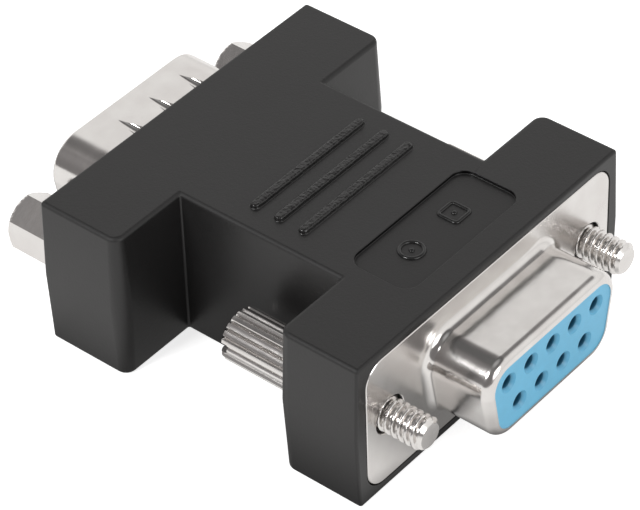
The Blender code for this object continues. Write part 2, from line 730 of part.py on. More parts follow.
def socket_contacts():
    """Turned socket contacts: a sleeve for the pin in front, a solder cup behind."""
    barrel = SOCKET_BARREL_DIAMETER / 2
    bore = SOCKET_BORE_DIAMETER / 2
    tail = TAIL_DIAMETER / 2
    cup = tail - SOLDER_CUP_WALL
    front = -(SOCKET_SHROUD_REACH - SOCKET_FACE_SINK) + HOLE_WEB + FIT_GAP
    back = tail_end(SOCKET)
    shoulder = rear_shell_end(SOCKET) - FIT_GAP
    depths = [
        (0.0, back - SOLDER_CUP_DEPTH), (cup, back - SOLDER_CUP_DEPTH), (cup, back), (tail, back),
        (tail, shoulder), (barrel, shoulder), (barrel, front), (bore, front),
        (bore, front + SOCKET_BORE_DEPTH), (0.0, front + SOCKET_BORE_DEPTH),
    ]
    profile = [(radius, depth_y(SOCKET, depth)) for radius, depth in depths]
    mesh = turned_mesh("socket_contact", profile, SLEEVE_STEPS)
    finish = gold("socket_contact_gold")
    for number, (x, z) in enumerate(contact_places(), start=1):
        add_part(f"socket_contact_{number}", mesh, finish, (x, 0.0, z))


def plug_pins():
    """Turned pins: a round nose in front, a barrel in the insulator and a solder cup behind."""
    pin = PIN_DIAMETER / 2
    barrel = PIN_BARREL_DIAMETER / 2
    cup = TAIL_DIAMETER / 2 - SOLDER_CUP_WALL
    tip = -(PLUG_SHROUD_REACH - PIN_BEHIND_RIM)
    back = tail_end(PLUG)
    depths = [(pin * math.sin(turn), tip + pin * (1 - math.cos(turn))) for turn in quarter_turn(BEND_STEPS)]
    depths += [
        (pin, PIN_SHOULDER_DEPTH), (barrel, PIN_SHOULDER_DEPTH), (barrel, back), (cup, back),
        (cup, back - SOLDER_CUP_DEPTH), (0.0, back - SOLDER_CUP_DEPTH),
    ]
    profile = [(radius, depth_y(PLUG, depth)) for radius, depth in depths]
    mesh = turned_mesh("plug_pin", profile, CONTACT_STEPS)
    finish = gold("plug_pin_gold")
    for number, (x, z) in enumerate(contact_places(), start=1):
        add_part(f"plug_pin_{number}", mesh, finish, (x, 0.0, z))


def wire_mesh(low_y, high_y):
    """Straight wire along Y as a round tube with closed ends."""
    path = bpy.data.curves.new("wire_path", "CURVE")
    path.dimensions = "3D"
    path.bevel_depth = WIRE_DIAMETER / 2
    path.bevel_resolution = WIRE_RESOLUTION
    path.use_fill_caps = True
    spline = path.splines.new("POLY")
    spline.points.add(1)
    for point, y in zip(spline.points, (low_y, high_y)):
        point.co = (0.0, y, 0.0, 1.0)
    guide = bpy.data.objects.new("wire_path", path)
    bpy.context.scene.collection.objects.link(guide)
    graph = bpy.context.evaluated_depsgraph_get()
    mesh = bpy.data.meshes.new_from_object(guide.evaluated_get(graph))
    shape = bmesh.new()
    shape.from_mesh(mesh)
    bmesh.ops.remove_doubles(shape, verts=shape.verts, dist=WELD)
    bmesh.ops.recalc_face_normals(shape, faces=shape.faces)
    shape.to_mesh(mesh)
    shape.free()
    bpy.data.objects.remove(guide, do_unlink=True)
    return mesh


def link_wires():
    """Straight-through wires, each end inside the solder cup of its contact."""
    low_y = depth_y(SOCKET, tail_end(SOCKET) - SOLDER_CUP_DEPTH + FIT_GAP)
    high_y = depth_y(PLUG, tail_end(PLUG) - SOLDER_CUP_DEPTH + FIT_GAP)
    mesh = wire_mesh(low_y, high_y)
    finish = material("tinned_wire", (0.72, 0.7, 0.66), 0.35, 1.0)
    for number, (x, z) in enumerate(contact_places(), start=1):
        add_part(f"link_wire_{number}", mesh, finish, (x, 0.0, z))


def inner_mould():
    """First-shot block between the rear shells, with a hole round each tail and wire."""
    sections = [(inner_mould_outline(), rear_shell_end(SOCKET) + FIT_GAP),
                (inner_mould_outline(), BODY_LENGTH - rear_shell_end(PLUG) - FIT_GAP)]
    finish = material("natural_polythene", (0.7, 0.69, 0.64), 0.5)
    part = add_part("inner_mould", loft_mesh("inner_mould", end_rings(SOCKET, sections)), finish)
    hole = cylinder_mesh("wire_hole", TAIL_HOLE_DIAMETER / 2, -BODY_LENGTH, BODY_LENGTH, SLEEVE_STEPS)
    drill = repeated_mesh("wire_holes", hole, contact_places())
    combine(part, "DIFFERENCE", add_cutter("wire_holes", drill))


def knurled_outline(radius, y):
    """Ring of a straight knurl about the Y axis."""
    points = []
    for i in range(2 * KNURL_TEETH):
        reach = radius - (i % 2) * KNURL_DEPTH
        turn = i / KNURL_TEETH * math.pi
        points.append((reach * math.cos(turn), y, reach * math.sin(turn)))
    return points


def thumbscrews():
    """Captive thumbscrews: knurled slotted knob, thin neck, and a thread thicker than the neck."""
    knob_front = depth_y(SOCKET, SOCKET_FLANGE_DEPTH + RUNNING_GAP)
    knob_back = knob_front + KNOB_LENGTH
    knob = KNOB_DIAMETER / 2
    rings = [
        knurled_outline(knob - KNOB_CHAMFER, knob_front), knurled_outline(knob, knob_front + KNOB_CHAMFER),
        knurled_outline(knob, knob_back - KNOB_CHAMFER), knurled_outline(knob - KNOB_CHAMFER, knob_back),
    ]
    thread = SCREW_DIAMETER / 2
    neck = SCREW_NECK_DIAMETER / 2
    tip = depth_y(SOCKET, -THREAD_REACH)
    thread_end = depth_y(SOCKET, THREAD_INSIDE)
    inside_knob = knob_front + KNOB_LENGTH / 2
    shank_profile = [
        (0.0, inside_knob), (neck, inside_knob), (neck, thread_end + THREAD_CHAMFER), (thread, thread_end),
        (thread, tip + THREAD_CHAMFER), (thread - THREAD_CHAMFER, tip), (0.0, tip),
    ]
    turn = Matrix.Rotation(SLOT_ANGLE, 4, "Y")
    for word, side in SIDES.items():
        place = (side * SCREW_SPACING / 2, 0.0, AXIS_Z)
        name = f"thumbscrew_{word}"
        screw = add_part(name, loft_mesh(name, rings), nickel(f"{name}_nickel"), place)
        shank = turned_mesh(f"shank_{word}", shank_profile, SHANK_STEPS)
        combine(screw, "UNION", add_cutter(f"shank_{word}", shank, place))
        slot_size = (2 * KNOB_DIAMETER, 2 * SLOT_DEPTH, SLOT_WIDTH)
        slot = box_mesh(f"slot_{word}", slot_size, (0.0, knob_back, 0.0))
        slot.transform(turn)
        combine(screw, "DIFFERENCE", add_cutter(f"slot_{word}", slot, place))


def jack_nuts():
    """Hexagonal jack nuts: chamfered end, tapped bore for a mating screw, and a stud behind."""
    seat = depth_y(PLUG, -FIT_GAP)
    end = seat + JACK_LENGTH
    corner = JACK_ACROSS_FLATS / math.sqrt(3)
    stud = SCREW_DIAMETER / 2
    stud_end = depth_y(PLUG, STUD_END_DEPTH)
    bore = JACK_BORE_DIAMETER / 2
    chamfer = [
        (0.0, end), (corner - JACK_CHAMFER, end), (corner + JACK_CHAMFER, end - JACK_CHAMFER),
        (corner + JACK_CHAMFER, seat - JACK_CHAMFER), (0.0, seat - JACK_CHAMFER),
    ]
    inside = seat + JACK_CHAMFER
    stud_profile = [
        (0.0, inside), (stud, inside), (stud, stud_end + THREAD_CHAMFER), (stud - THREAD_CHAMFER, stud_end),
        (0.0, stud_end),
    ]
    bore_end = end - JACK_BORE_DEPTH
    bore_profile = [
        (0.0, end + JACK_CHAMFER), (bore + 2 * JACK_CHAMFER, end + JACK_CHAMFER), (bore, end - JACK_CHAMFER),
        (bore, bore_end), (0.0, bore_end - bore / 2),
    ]
    for word, side in SIDES.items():
        place = (side * SCREW_SPACING / 2, 0.0, AXIS_Z)
        name = f"jack_nut_{word}"
        hexagon = hexagon_mesh(name, JACK_ACROSS_FLATS, seat, end)
        hexagon.transform(Matrix.Rotation(JACK_TURN, 4, "Y"))
        nut = add_part(name, hexagon, nickel(f"{name}_nickel"), place)
        helpers = (
            ("INTERSECT", "jack_chamfer", chamfer, SHANK_STEPS),
            ("UNION", "jack_stud", stud_profile, SHANK_STEPS),
            ("DIFFERENCE", "jack_bore", bore_profile, HOLE_STEPS),
        )
        for operation, label, profile, steps in helpers:
            helper = add_cutter(f"{label}_{word}", turned_mesh(label, profile, steps), place)
            combine(nut, operation, helper)


def anchor_nuts():
    """Nuts moulded in behind the plug flange, round the studs of the jack nuts."""
    front = depth_y(PLUG, SEAT_DEPTH)
    back = depth_y(PLUG, SEAT_DEPTH + ANCHOR_THICKNESS)
    hole_radius = SCREW_DIAMETER / 2 + FIT_GAP
    for word, side in SIDES.items():
        place = (side * SCREW_SPACING / 2, 0.0, AXIS_Z)
        name = f"anchor_nut_{word}"
        hexagon = hexagon_mesh(name, ANCHOR_ACROSS_FLATS, back, front)
        nut = add_part(name, hexagon, nickel(f"{name}_zinc"), place)
        hole = cylinder_mesh("anchor_hole", hole_radius, back - ANCHOR_THICKNESS, front + ANCHOR_THICKNESS,
                             SHANK_STEPS)
        combine(nut, "DIFFERENCE", add_cutter(f"anchor_hole_{word}", hole, place))


def build():
    """Build every piece of the adapter."""
    clear_scene()
    overmould_body()
    front_shells()
    rear_shell("socket", SOCKET)
    rear_shell("plug", PLUG)
    socket_insulator()
    plug_insulator()
    socket_contacts()
    plug_pins()
    link_wires()
    inner_mould()
    thumbscrews()
    jack_nuts()
    anchor_nuts()


build()
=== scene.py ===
"""Looks of a serial extension adapter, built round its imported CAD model.

Lengths are metres in the model's own frame: X is the width, Y runs from the socket end at -Y to
the plug end at +Y, and Z is up from the flat underside. A depth is measured inwards from the end
face of the moulding, so what stands proud of an end has a negative depth.
"""

import logging
import math
from collections.abc import Iterator, Sequence
from contextlib import ExitStack, contextmanager
from dataclasses import dataclass, field
from enum import Enum

import bmesh
import bpy
from mathutils import Matrix, Vector

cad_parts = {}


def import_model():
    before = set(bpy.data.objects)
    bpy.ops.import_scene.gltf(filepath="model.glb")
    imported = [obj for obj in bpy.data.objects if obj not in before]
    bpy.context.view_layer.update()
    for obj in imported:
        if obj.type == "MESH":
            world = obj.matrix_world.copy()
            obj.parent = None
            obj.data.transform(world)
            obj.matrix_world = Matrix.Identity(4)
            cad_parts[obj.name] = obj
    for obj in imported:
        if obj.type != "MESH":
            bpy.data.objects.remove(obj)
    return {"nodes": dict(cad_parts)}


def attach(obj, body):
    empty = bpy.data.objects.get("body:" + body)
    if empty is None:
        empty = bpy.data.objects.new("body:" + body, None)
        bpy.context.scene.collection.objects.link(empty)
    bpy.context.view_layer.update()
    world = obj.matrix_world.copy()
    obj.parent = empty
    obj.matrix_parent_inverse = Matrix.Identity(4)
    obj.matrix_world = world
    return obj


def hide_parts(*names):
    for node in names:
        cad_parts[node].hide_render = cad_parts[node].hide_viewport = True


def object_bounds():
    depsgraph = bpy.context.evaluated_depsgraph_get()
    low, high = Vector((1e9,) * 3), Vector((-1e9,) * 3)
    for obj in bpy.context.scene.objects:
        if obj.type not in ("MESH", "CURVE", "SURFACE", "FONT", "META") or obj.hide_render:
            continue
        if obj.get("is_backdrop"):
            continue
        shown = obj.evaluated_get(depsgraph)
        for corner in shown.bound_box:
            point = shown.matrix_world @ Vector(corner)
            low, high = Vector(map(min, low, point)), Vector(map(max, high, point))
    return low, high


MM = 0.001
QUARTER = math.pi / 2
ADAPTER = "adapter"

Point = tuple[float, float]
Place = tuple[float, float, float]
Section = tuple[list[Point], float]
Cut = tuple[str, bpy.types.Mesh]

log = logging.getLogger("adapter")


class End(Enum):
    """The two ends of the adapter, by the sign of Y."""

    SOCKET = -1
    PLUG = 1


class Side(Enum):
    """The two screw sides, by the sign of X."""

    LEFT = -1
    RIGHT = 1


class Slot(Enum):
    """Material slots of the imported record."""

    MOULDING = "moulding"
    SHELL = "nickel_shell"
    TURNED = "nickel_turned"
    BLUE = "blue_insulator"
    BLACK = "plug_insulator"
    CONTACT = "contact_gold"


@dataclass(frozen=True)
class Layout:
    """Sizes that the sub-assemblies share."""

    contact_pitch: float = 2.77 * MM
    row_spacing: float = 2.84 * MM
    upper_contacts: int = 5
    lower_contacts: int = 4
    screw_spacing: float = 24.99 * MM
    screw_diameter: float = 2.84 * MM
    hole_diameter: float = 3.3 * MM
    flange_width: float = 30.47 * MM
    flange_height: float = 12.4 * MM
    flange_corner: float = 1.9 * MM
    wall: float = 0.5 * MM
    gap: float = 0.1 * MM
    body_length: float = 31.6 * MM
    body_height: float = 14.1 * MM
    edge_round: float = 0.35 * MM
    panel_depth: float = 0.3 * MM
    cutter_reach: float = 12.0 * MM
    bore_steps: int = 48
    thread_pitch: float = 0.635 * MM
    thread_sharp_degrees: float = 40.0

    @property
    def axis_height(self) -> float:
        """Height of the connectors' common axis."""
        return self.body_height / 2

    @property
    def seat_depth(self) -> float:
        """Depth of the recess that holds both flanges of an end."""
        return 2 * (self.wall + self.gap)

    def depth_y(self, end: End, depth: float) -> float:
        """Y of a plane at a depth behind the face of one end."""
        return end.value * (self.body_length / 2 - depth)

    def along_y(self, end: End, profile: Sequence[Point]) -> list[Point]:
        """(radius, y) points from the (radius, depth) points of one end."""
        return [(radius, self.depth_y(end, depth)) for radius, depth in profile]

    def screw_place(self, side: Side, y: float = 0.0) -> Place:
        """Point on a screw axis."""
        return (side.value * self.screw_spacing / 2, y, self.axis_height)

    def end_rings(self, end: End, sections: Sequence[Section]) -> list[list[Place]]:
        """Rings round the connector axis from (outline, depth) pairs."""
        return [
            [(x, self.depth_y(end, depth), self.axis_height + z) for x, z in outline]
            for outline, depth in sections
        ]

    def flange(self, grow: float = 0.0) -> list[Point]:
        """Outline of a shell flange."""
        return Shapes.rounded(self.flange_width, self.flange_height, self.flange_corner, grow)

    def on_screw(self, side: Side, name: str, profile: Sequence[Point],
                 steps: int) -> bpy.types.Mesh:
        """Turned shape that stands on one screw axis."""
        mesh = Shapes.turned(name, profile, steps)
        mesh.transform(Matrix.Translation(self.screw_place(side)))
        return mesh

    def screw_cuts(self, name: str, profile: Sequence[Point]) -> list[Cut]:
        """Cuts of one turned profile on both screw axes."""
        return [
            ("DIFFERENCE", self.on_screw(side, name, profile, self.bore_steps)) for side in Side
        ]


class Signal:
    """An output socket whose arithmetic adds Math nodes to its own tree."""

    def __init__(self, builder: "NodeBuilder", node: bpy.types.Node, key: int | str = 0) -> None:
        """Wrap one output of a node.

        Args:
            builder: Tree that the node stands in.
            node: Node whose output is wrapped.
            key: Index, identifier or name of the output.
        """
        self.builder = builder
        self.node = node
        self.socket = builder.find(node.outputs, key)

    def pick(self, key: int | str) -> "Signal":
        """Another output of the same node."""
        return Signal(self.builder, self.node, key)

    def math(self, operation: str, *values: "Operand") -> "Signal":
        """Result of a Math node on this signal and further values."""
        inputs = dict(enumerate((self, *values)))
        return self.builder.node("ShaderNodeMath", {"operation": operation}, inputs)

    def __add__(self, other: "Operand") -> "Signal":
        """Sum."""
        return self.math("ADD", other)

    __radd__ = __add__

    def __mul__(self, other: "Operand") -> "Signal":
        """Product."""
        return self.math("MULTIPLY", other)

    __rmul__ = __mul__

    def __sub__(self, other: "Operand") -> "Signal":
        """Difference."""
        return self.math("SUBTRACT", other)

    def __rsub__(self, other: "Operand") -> "Signal":
        """Difference with this signal taken away."""
        return self.builder.node("ShaderNodeMath", {"operation": "SUBTRACT"}, {0: other, 1: self})

    def __truediv__(self, other: "Operand") -> "Signal":
        """Quotient."""
        return self.math("DIVIDE", other)

    def __abs__(self) -> "Signal":
        """Size without its sign."""
        return self.math("ABSOLUTE")

    def least(self, other: "Operand") -> "Signal":
        """The smaller of two values."""
        return self.math("MINIMUM", other)

    def most(self, other: "Operand") -> "Signal":
        """The larger of two values."""
        return self.math("MAXIMUM", other)

    def clamped(self) -> "Signal":
        """Value held between 0 and 1."""
        return self.least(1.0).most(0.0)

    def eased(self) -> "Signal":
        """A value from 0 to 1 with both ends rounded off."""
        return self * self * (3.0 - 2.0 * self)


Operand = Signal | float


class NodeBuilder:
    """Adds nodes to one shader or geometry tree."""

    def __init__(self, tree: bpy.types.NodeTree) -> None:
        """Empty the tree and keep it for the nodes to come."""
        self.tree = tree
        self.tree.nodes.clear()

    @staticmethod
    def find(sockets: Sequence[bpy.types.NodeSocket], key: int | str) -> bpy.types.NodeSocket:
        """Socket of an index, identifier or name.

        Args:
            sockets: Inputs or outputs of a node.
            key: Index, identifier or name.

        Returns:
            The first socket that fits.
        """
        if isinstance(key, int):
            return sockets[key]
        named = [s for s in sockets if s.identifier == key] + [s for s in sockets if s.name == key]
        return named[0]

    def node(self, kind: str, settings: dict | None = None, values: dict | None = None,
             output: int | str = 0) -> Signal | None:
        """Add a node.

        Args:
            kind: Node type.
            settings: Properties set first; "stops" holds a ramp's (position, colour) pairs.
            values: Signals to link or constants to set, by input socket.
            output: The output that is returned.

        Returns:
            The wrapped output, or None where the node has none.
        """
        made = self.tree.nodes.new(kind)
        for name, value in (settings or {}).items():
            if name == "stops":
                self._set_stops(made.color_ramp, value)
            else:
                setattr(made, name, value)
        for key, value in (values or {}).items():
            socket = self.find(made.inputs, key)
            if isinstance(value, Signal):
                self.tree.links.new(value.socket, socket)
            else:
                socket.default_value = value
        if not made.outputs:
            return None
        return Signal(self, made, output)

    @staticmethod
    def _set_stops(ramp: bpy.types.ColorRamp, stops: Sequence[tuple[float, Place]]) -> None:
        """Give a colour ramp its stops."""
        while len(ramp.elements) < len(stops):
            ramp.elements.new(1.0)
        for element, (position, colour) in zip(ramp.elements, stops):
            element.position = position
            element.color = (*colour, 1.0)

    def mixed(self, factor: Operand, first: "Signal | Place", second: "Signal | Place") -> Signal:
        """Colour between two others."""
        colours = {
            key: value if isinstance(value, Signal) else (*value, 1.0)
            for key, value in (("A_Color", first), ("B_Color", second))
        }
        values = {"Factor_Float": factor, **colours}
        return self.node("ShaderNodeMix", {"data_type": "RGBA"}, values, "Result_Color")

    def split(self, kind: str) -> tuple[Signal, Signal, Signal]:
        """X, Y and Z of one kind of texture coordinates."""
        where = self.node("ShaderNodeTexCoord", output=kind)
        parts = self.node("ShaderNodeSeparateXYZ", values={0: where})
        return parts, parts.pick("Y"), parts.pick("Z")


class MaterialBuilder(NodeBuilder):
    """Builds one surface material round a Principled shader."""

    def __init__(self, name: str) -> None:
        """Start an empty material and read the object's own coordinates."""
        self.material = bpy.data.materials.new(name)
        self.material.use_nodes = True
        super().__init__(self.material.node_tree)
        self.coordinates = self.node("ShaderNodeTexCoord", output="Object")

    def place(self, axis: str) -> Signal:
        """Place along one axis of the object."""
        return self.node("ShaderNodeSeparateXYZ", values={0: self.coordinates}).pick(axis)

    def noise(self, size: float, detail: float = 2.0, roughness: float = 0.5,
              stretch: Place = (1.0, 1.0, 1.0)) -> Signal:
        """Noise from 0 to 1.

        Args:
            size: Length of one lump.
            detail: Octaves.
            roughness: Share of the finer octaves.
            stretch: How much longer the lumps are along each axis.

        Returns:
            The noise value.
        """
        scale = tuple(1.0 / (size * s) for s in stretch)
        where = self.node("ShaderNodeMapping", values={"Vector": self.coordinates, "Scale": scale})
        return self.node("ShaderNodeTexNoise", values={
            "Vector": where, "Scale": 1.0, "Detail": detail, "Roughness": roughness})

    def bump(self, height: Signal, distance: float, normal: Signal | None = None) -> Signal:
        """Normal tilted by a height pattern, on top of another normal if one is given."""
        under = {} if normal is None else {"Normal": normal}
        return self.node("ShaderNodeBump", values={"Height": height, "Distance": distance, **under})

    def close(self, values: dict) -> bpy.types.Material:
        """Join a Principled shader with these values to the output.

        Args:
            values: Signals or constants by the shader's input names.

        Returns:
            The finished material.
        """
        shader = self.node("ShaderNodeBsdfPrincipled", values=values)
        self.node("ShaderNodeOutputMaterial", values={"Surface": shader})
        return self.material


@dataclass(frozen=True)
class MouldedPlastic:
    """Plastic from a spark-eroded or polished mould."""

    name: str
    colour: Place
    roughness: float
    grain: float
    grain_depth: float
    drift: float = 5.0 * MM
    mottle: float = 0.9 * MM
    sink: float = 9.0 * MM
    sink_depth: float = 0.02 * MM
    darkest: float = 0.87
    lightest: float = 1.13
    drift_dulling: float = 0.05
    mottle_dulling: float = 0.08

    def tone(self, build: MaterialBuilder, colour: Signal) -> Signal:
        """Colour as it is at each place."""
        return colour

    def dulling(self, build: MaterialBuilder) -> Operand:
        """Roughness added at each place."""
        return 0.0

    def relief(self, build: MaterialBuilder, normal: Signal) -> Signal:
        """Normal with the relief that only this plastic has."""
        return normal

    def material(self) -> bpy.types.Material:
        """Build the material.

        Returns:
            Plastic with fine grain, a slow drift and mottle of colour and gloss, and faint sinks.
        """
        build = MaterialBuilder(self.name)
        drift = build.noise(self.drift, detail=3.0)
        mottle = build.noise(self.mottle, detail=4.0, roughness=0.6)
        grain = build.noise(self.grain, detail=3.0, roughness=0.6)
        sink = build.noise(self.sink, detail=1.0)
        darker = tuple(part * self.darkest for part in self.colour)
        lighter = tuple(part * self.lightest for part in self.colour)
        colour = build.mixed((0.5 * drift + 0.5 * mottle).clamped(), darker, lighter)
        uneven = self.drift_dulling * (drift - 0.5) + self.mottle_dulling * (mottle - 0.5)
        roughness = self.roughness + uneven + self.dulling(build)
        slow = self.relief(build, build.bump(sink, self.sink_depth))
        return build.close({
            "Base Color": self.tone(build, colour), "Roughness": roughness.clamped(),
            "Normal": build.bump(grain, self.grain_depth, slow)})


@dataclass(frozen=True)
class RibbedMoulding(MouldedPlastic):
    """Body plastic: rough-cast finger ribs above the top face, and smooth panel walls in painted
    shade.

    The ribs, the rounded edge of the top face and the panel's walls are told apart by their place.
    """

    top: float = Layout.body_height
    blend: float = 0.03 * MM
    panel_depth: float = Layout.panel_depth
    panel_half_width: float = 7.6 * MM
    panel_front: float = -14.0 * MM
    panel_rear: float = -7.0 * MM
    wall_foot: float = 0.015 * MM
    wall_mouth: float = 0.021 * MM
    # Painted shade on the walls of the label panel.
    painted_wall_shade: Place = (0.001, 0.001, 0.001)
    wall_dulling: float = -0.28
    edge_round: float = Layout.edge_round
    edge_lead: float = 0.07 * MM
    edge_end: float = 0.006 * MM
    edge_dulling: float = 0.25
    rib_blend: float = 0.06 * MM
    rib_lump: float = 0.32 * MM
    rib_relief: float = 0.08 * MM
    rib_dulling: float = -0.1

    def ribs(self, build: MaterialBuilder) -> Signal:
        """1 on the finger ribs, 0 on the rest."""
        return ((build.place("Z") - self.top) / self.rib_blend).clamped()

    def wall(self, build: MaterialBuilder) -> Signal:
        """1 on the walls of the label panel, 0 on the rest."""
        height, along = build.place("Z"), build.place("Y")
        foot = self.top - self.panel_depth + self.wall_foot
        over_floor = ((height - foot) / self.blend).clamped()
        below_mouth = ((self.top - self.wall_mouth - height) / self.blend).clamped()
        across = abs(build.place("X")).math("LESS_THAN", self.panel_half_width)
        before = along.math("LESS_THAN", self.panel_rear)
        behind = along.math("GREATER_THAN", self.panel_front)
        return over_floor * below_mouth * across * before * behind

    def edge(self, build: MaterialBuilder) -> Signal:
        """1 on the rounded edge of the top face, 0 on the rest."""
        height = build.place("Z")
        start = self.top - self.edge_round - self.edge_lead
        over_wall = ((height - start) / self.edge_round).clamped()
        below_face = ((self.top - self.edge_end - height) / self.blend).clamped()
        return over_wall * below_face

    def tone(self, build: MaterialBuilder, colour: Signal) -> Signal:
        """Painted shade: nearly black on the panel's walls, the shade of the recess."""
        return build.mixed(self.wall(build), colour, self.painted_wall_shade)

    def dulling(self, build: MaterialBuilder) -> Signal:
        """Rougher on the top's edge, smoother on the panel's walls and the ribs."""
        wall = self.wall(build)
        edge = self.edge(build) * (1.0 - wall)
        on_top = self.edge_dulling * edge + self.rib_dulling * self.ribs(build)
        return on_top + self.wall_dulling * wall

    def relief(self, build: MaterialBuilder, normal: Signal) -> Signal:
        """Coarse casting lumps on the ribs."""
        lumps = build.noise(self.rib_lump, detail=2.0)
        return build.bump(lumps * self.ribs(build), self.rib_relief, normal)


@dataclass(frozen=True)
class DrilledPlastic(MouldedPlastic):
    """Coloured plastic with painted shade that grows darker down its contact holes."""

    face: float = -21.6 * MM
    fade: float = 0.5 * MM
    # Painted shade deep in the contact holes.
    painted_hole_shade: Place = (0.02, 0.11, 0.19)

    def tone(self, build: MaterialBuilder, colour: Signal) -> Signal:
        """Painted shade: darker with the depth behind the front face."""
        depth = ((build.place("Y") - self.face) / self.fade).clamped().eased()
        return build.mixed(depth, colour, self.painted_hole_shade)


@dataclass(frozen=True)
class PlatedMetal:
    """Bright plating with faint waves, clouds of tint and gloss, and fine drawing marks."""

    name: str
    colour: Place
    roughness: float
    wave: float
    wave_depth: float
    mark_stretch: Place = (1.0, 1.0, 1.0)
    cloud: float = 2.2 * MM
    cloud_contrast: float = 1.6
    cloud_start: float = 0.3
    cloud_dulling: float = 0.1
    mark: float = 0.12 * MM
    mark_depth: float = 0.002 * MM
    mark_dulling: float = 0.06
    tarnish: Place = (0.9, 0.88, 0.88)

    def dulling(self, build: MaterialBuilder) -> Operand:
        """Roughness added at each place."""
        return 0.0

    def material(self) -> bpy.types.Material:
        """Build the material.

        Returns:
            Metal whose roughness and tint drift a little over the surface.
        """
        build = MaterialBuilder(self.name)
        cloud = build.noise(self.cloud, detail=3.0)
        marks = build.noise(self.mark, stretch=self.mark_stretch)
        waves = build.noise(self.wave, detail=1.0)
        dull = tuple(part * share for part, share in zip(self.colour, self.tarnish))
        tint = (cloud * self.cloud_contrast - self.cloud_start).clamped()
        uneven = self.cloud_dulling * (cloud - 0.5) + self.mark_dulling * (marks - 0.5)
        roughness = self.roughness + uneven + self.dulling(build)
        slow = build.bump(waves, self.wave_depth)
        return build.close({
            "Base Color": build.mixed(tint, self.colour, dull), "Metallic": 1.0,
            "Roughness": roughness.clamped(), "Normal": build.bump(marks, self.mark_depth, slow)})


@dataclass(frozen=True)
class DrawnShellMetal(PlatedMetal):
    """Plating that is duller on the flat flanges than on the drawn walls."""

    flange_end: float = 16.1 * MM
    blend: float = 0.5 * MM
    flange_dulling: float = 0.14

    def dulling(self, build: MaterialBuilder) -> Signal:
        """More roughness on the flanges."""
        inward = ((self.flange_end - abs(build.place("Y"))) / self.blend).clamped()
        return inward * self.flange_dulling


@dataclass(frozen=True)
class Finishes:
    """Every finish of the adapter, made once."""

    moulding: bpy.types.Material
    marks: bpy.types.Material
    shell: bpy.types.Material
    turned: bpy.types.Material
    blue: bpy.types.Material
    black: bpy.types.Material
    inner: bpy.types.Material
    contact: bpy.types.Material
    wire: bpy.types.Material

    @classmethod
    def make(cls) -> "Finishes":
        """Build all the materials."""
        nickel = (0.80, 0.785, 0.765)
        finishes = {
            "moulding": RibbedMoulding(
                "black_moulding", colour=(0.0115, 0.011, 0.011), roughness=0.36,
                grain=0.2 * MM, grain_depth=0.01 * MM),
            "marks": MouldedPlastic(
                "polished_black_marks", colour=(0.012, 0.012, 0.012), roughness=0.22,
                grain=0.2 * MM, grain_depth=0.001 * MM),
            "shell": DrawnShellMetal(
                "bright_nickel_shell", colour=nickel, roughness=0.16,
                wave=3.0 * MM, wave_depth=0.03 * MM, mark_stretch=(6.0, 1.0, 6.0)),
            "turned": PlatedMetal(
                "turned_nickel", colour=nickel, roughness=0.2,
                wave=1.0 * MM, wave_depth=0.01 * MM, mark_stretch=(4.0, 1.0, 4.0)),
            "blue": DrilledPlastic(
                "sky_blue_plastic", colour=(0.16, 0.525, 0.775), roughness=0.36,
                grain=0.5 * MM, grain_depth=0.002 * MM),
            "black": MouldedPlastic(
                "black_insulator_plastic", colour=(0.02, 0.02, 0.022), roughness=0.4,
                grain=0.3 * MM, grain_depth=0.003 * MM),
            "inner": MouldedPlastic(
                "natural_polythene", colour=(0.66, 0.65, 0.6), roughness=0.5,
                grain=0.4 * MM, grain_depth=0.004 * MM),
            "contact": PlatedMetal(
                "gold_flash", colour=(0.86, 0.64, 0.27), roughness=0.2,
                wave=0.8 * MM, wave_depth=0.004 * MM, mark_stretch=(1.0, 4.0, 1.0)),
            "wire": PlatedMetal(
                "tinned_copper", colour=(0.74, 0.72, 0.68), roughness=0.35,
                wave=0.8 * MM, wave_depth=0.01 * MM, mark_stretch=(1.0, 6.0, 1.0)),
        }
        return cls(**{use: finish.material() for use, finish in finishes.items()})


def placed(name: str, data: bpy.types.ID) -> bpy.types.Object:
    """New object in the scene."""
    made = bpy.data.objects.new(name, data)
    bpy.context.scene.collection.objects.link(made)
    return made


@contextmanager
def on_stand(mesh: bpy.types.Mesh) -> Iterator[bpy.types.Object]:
    """Temporary object round a mesh, which is gone again afterwards."""
    holder = placed(mesh.name, mesh)
    yield holder
    bpy.data.objects.remove(holder, do_unlink=True)


def evaluated(holder: bpy.types.Object) -> bpy.types.Mesh:
    """Plain mesh of an object as its modifiers leave it."""
    graph = bpy.context.evaluated_depsgraph_get()
    return bpy.data.meshes.new_from_object(holder.evaluated_get(graph))


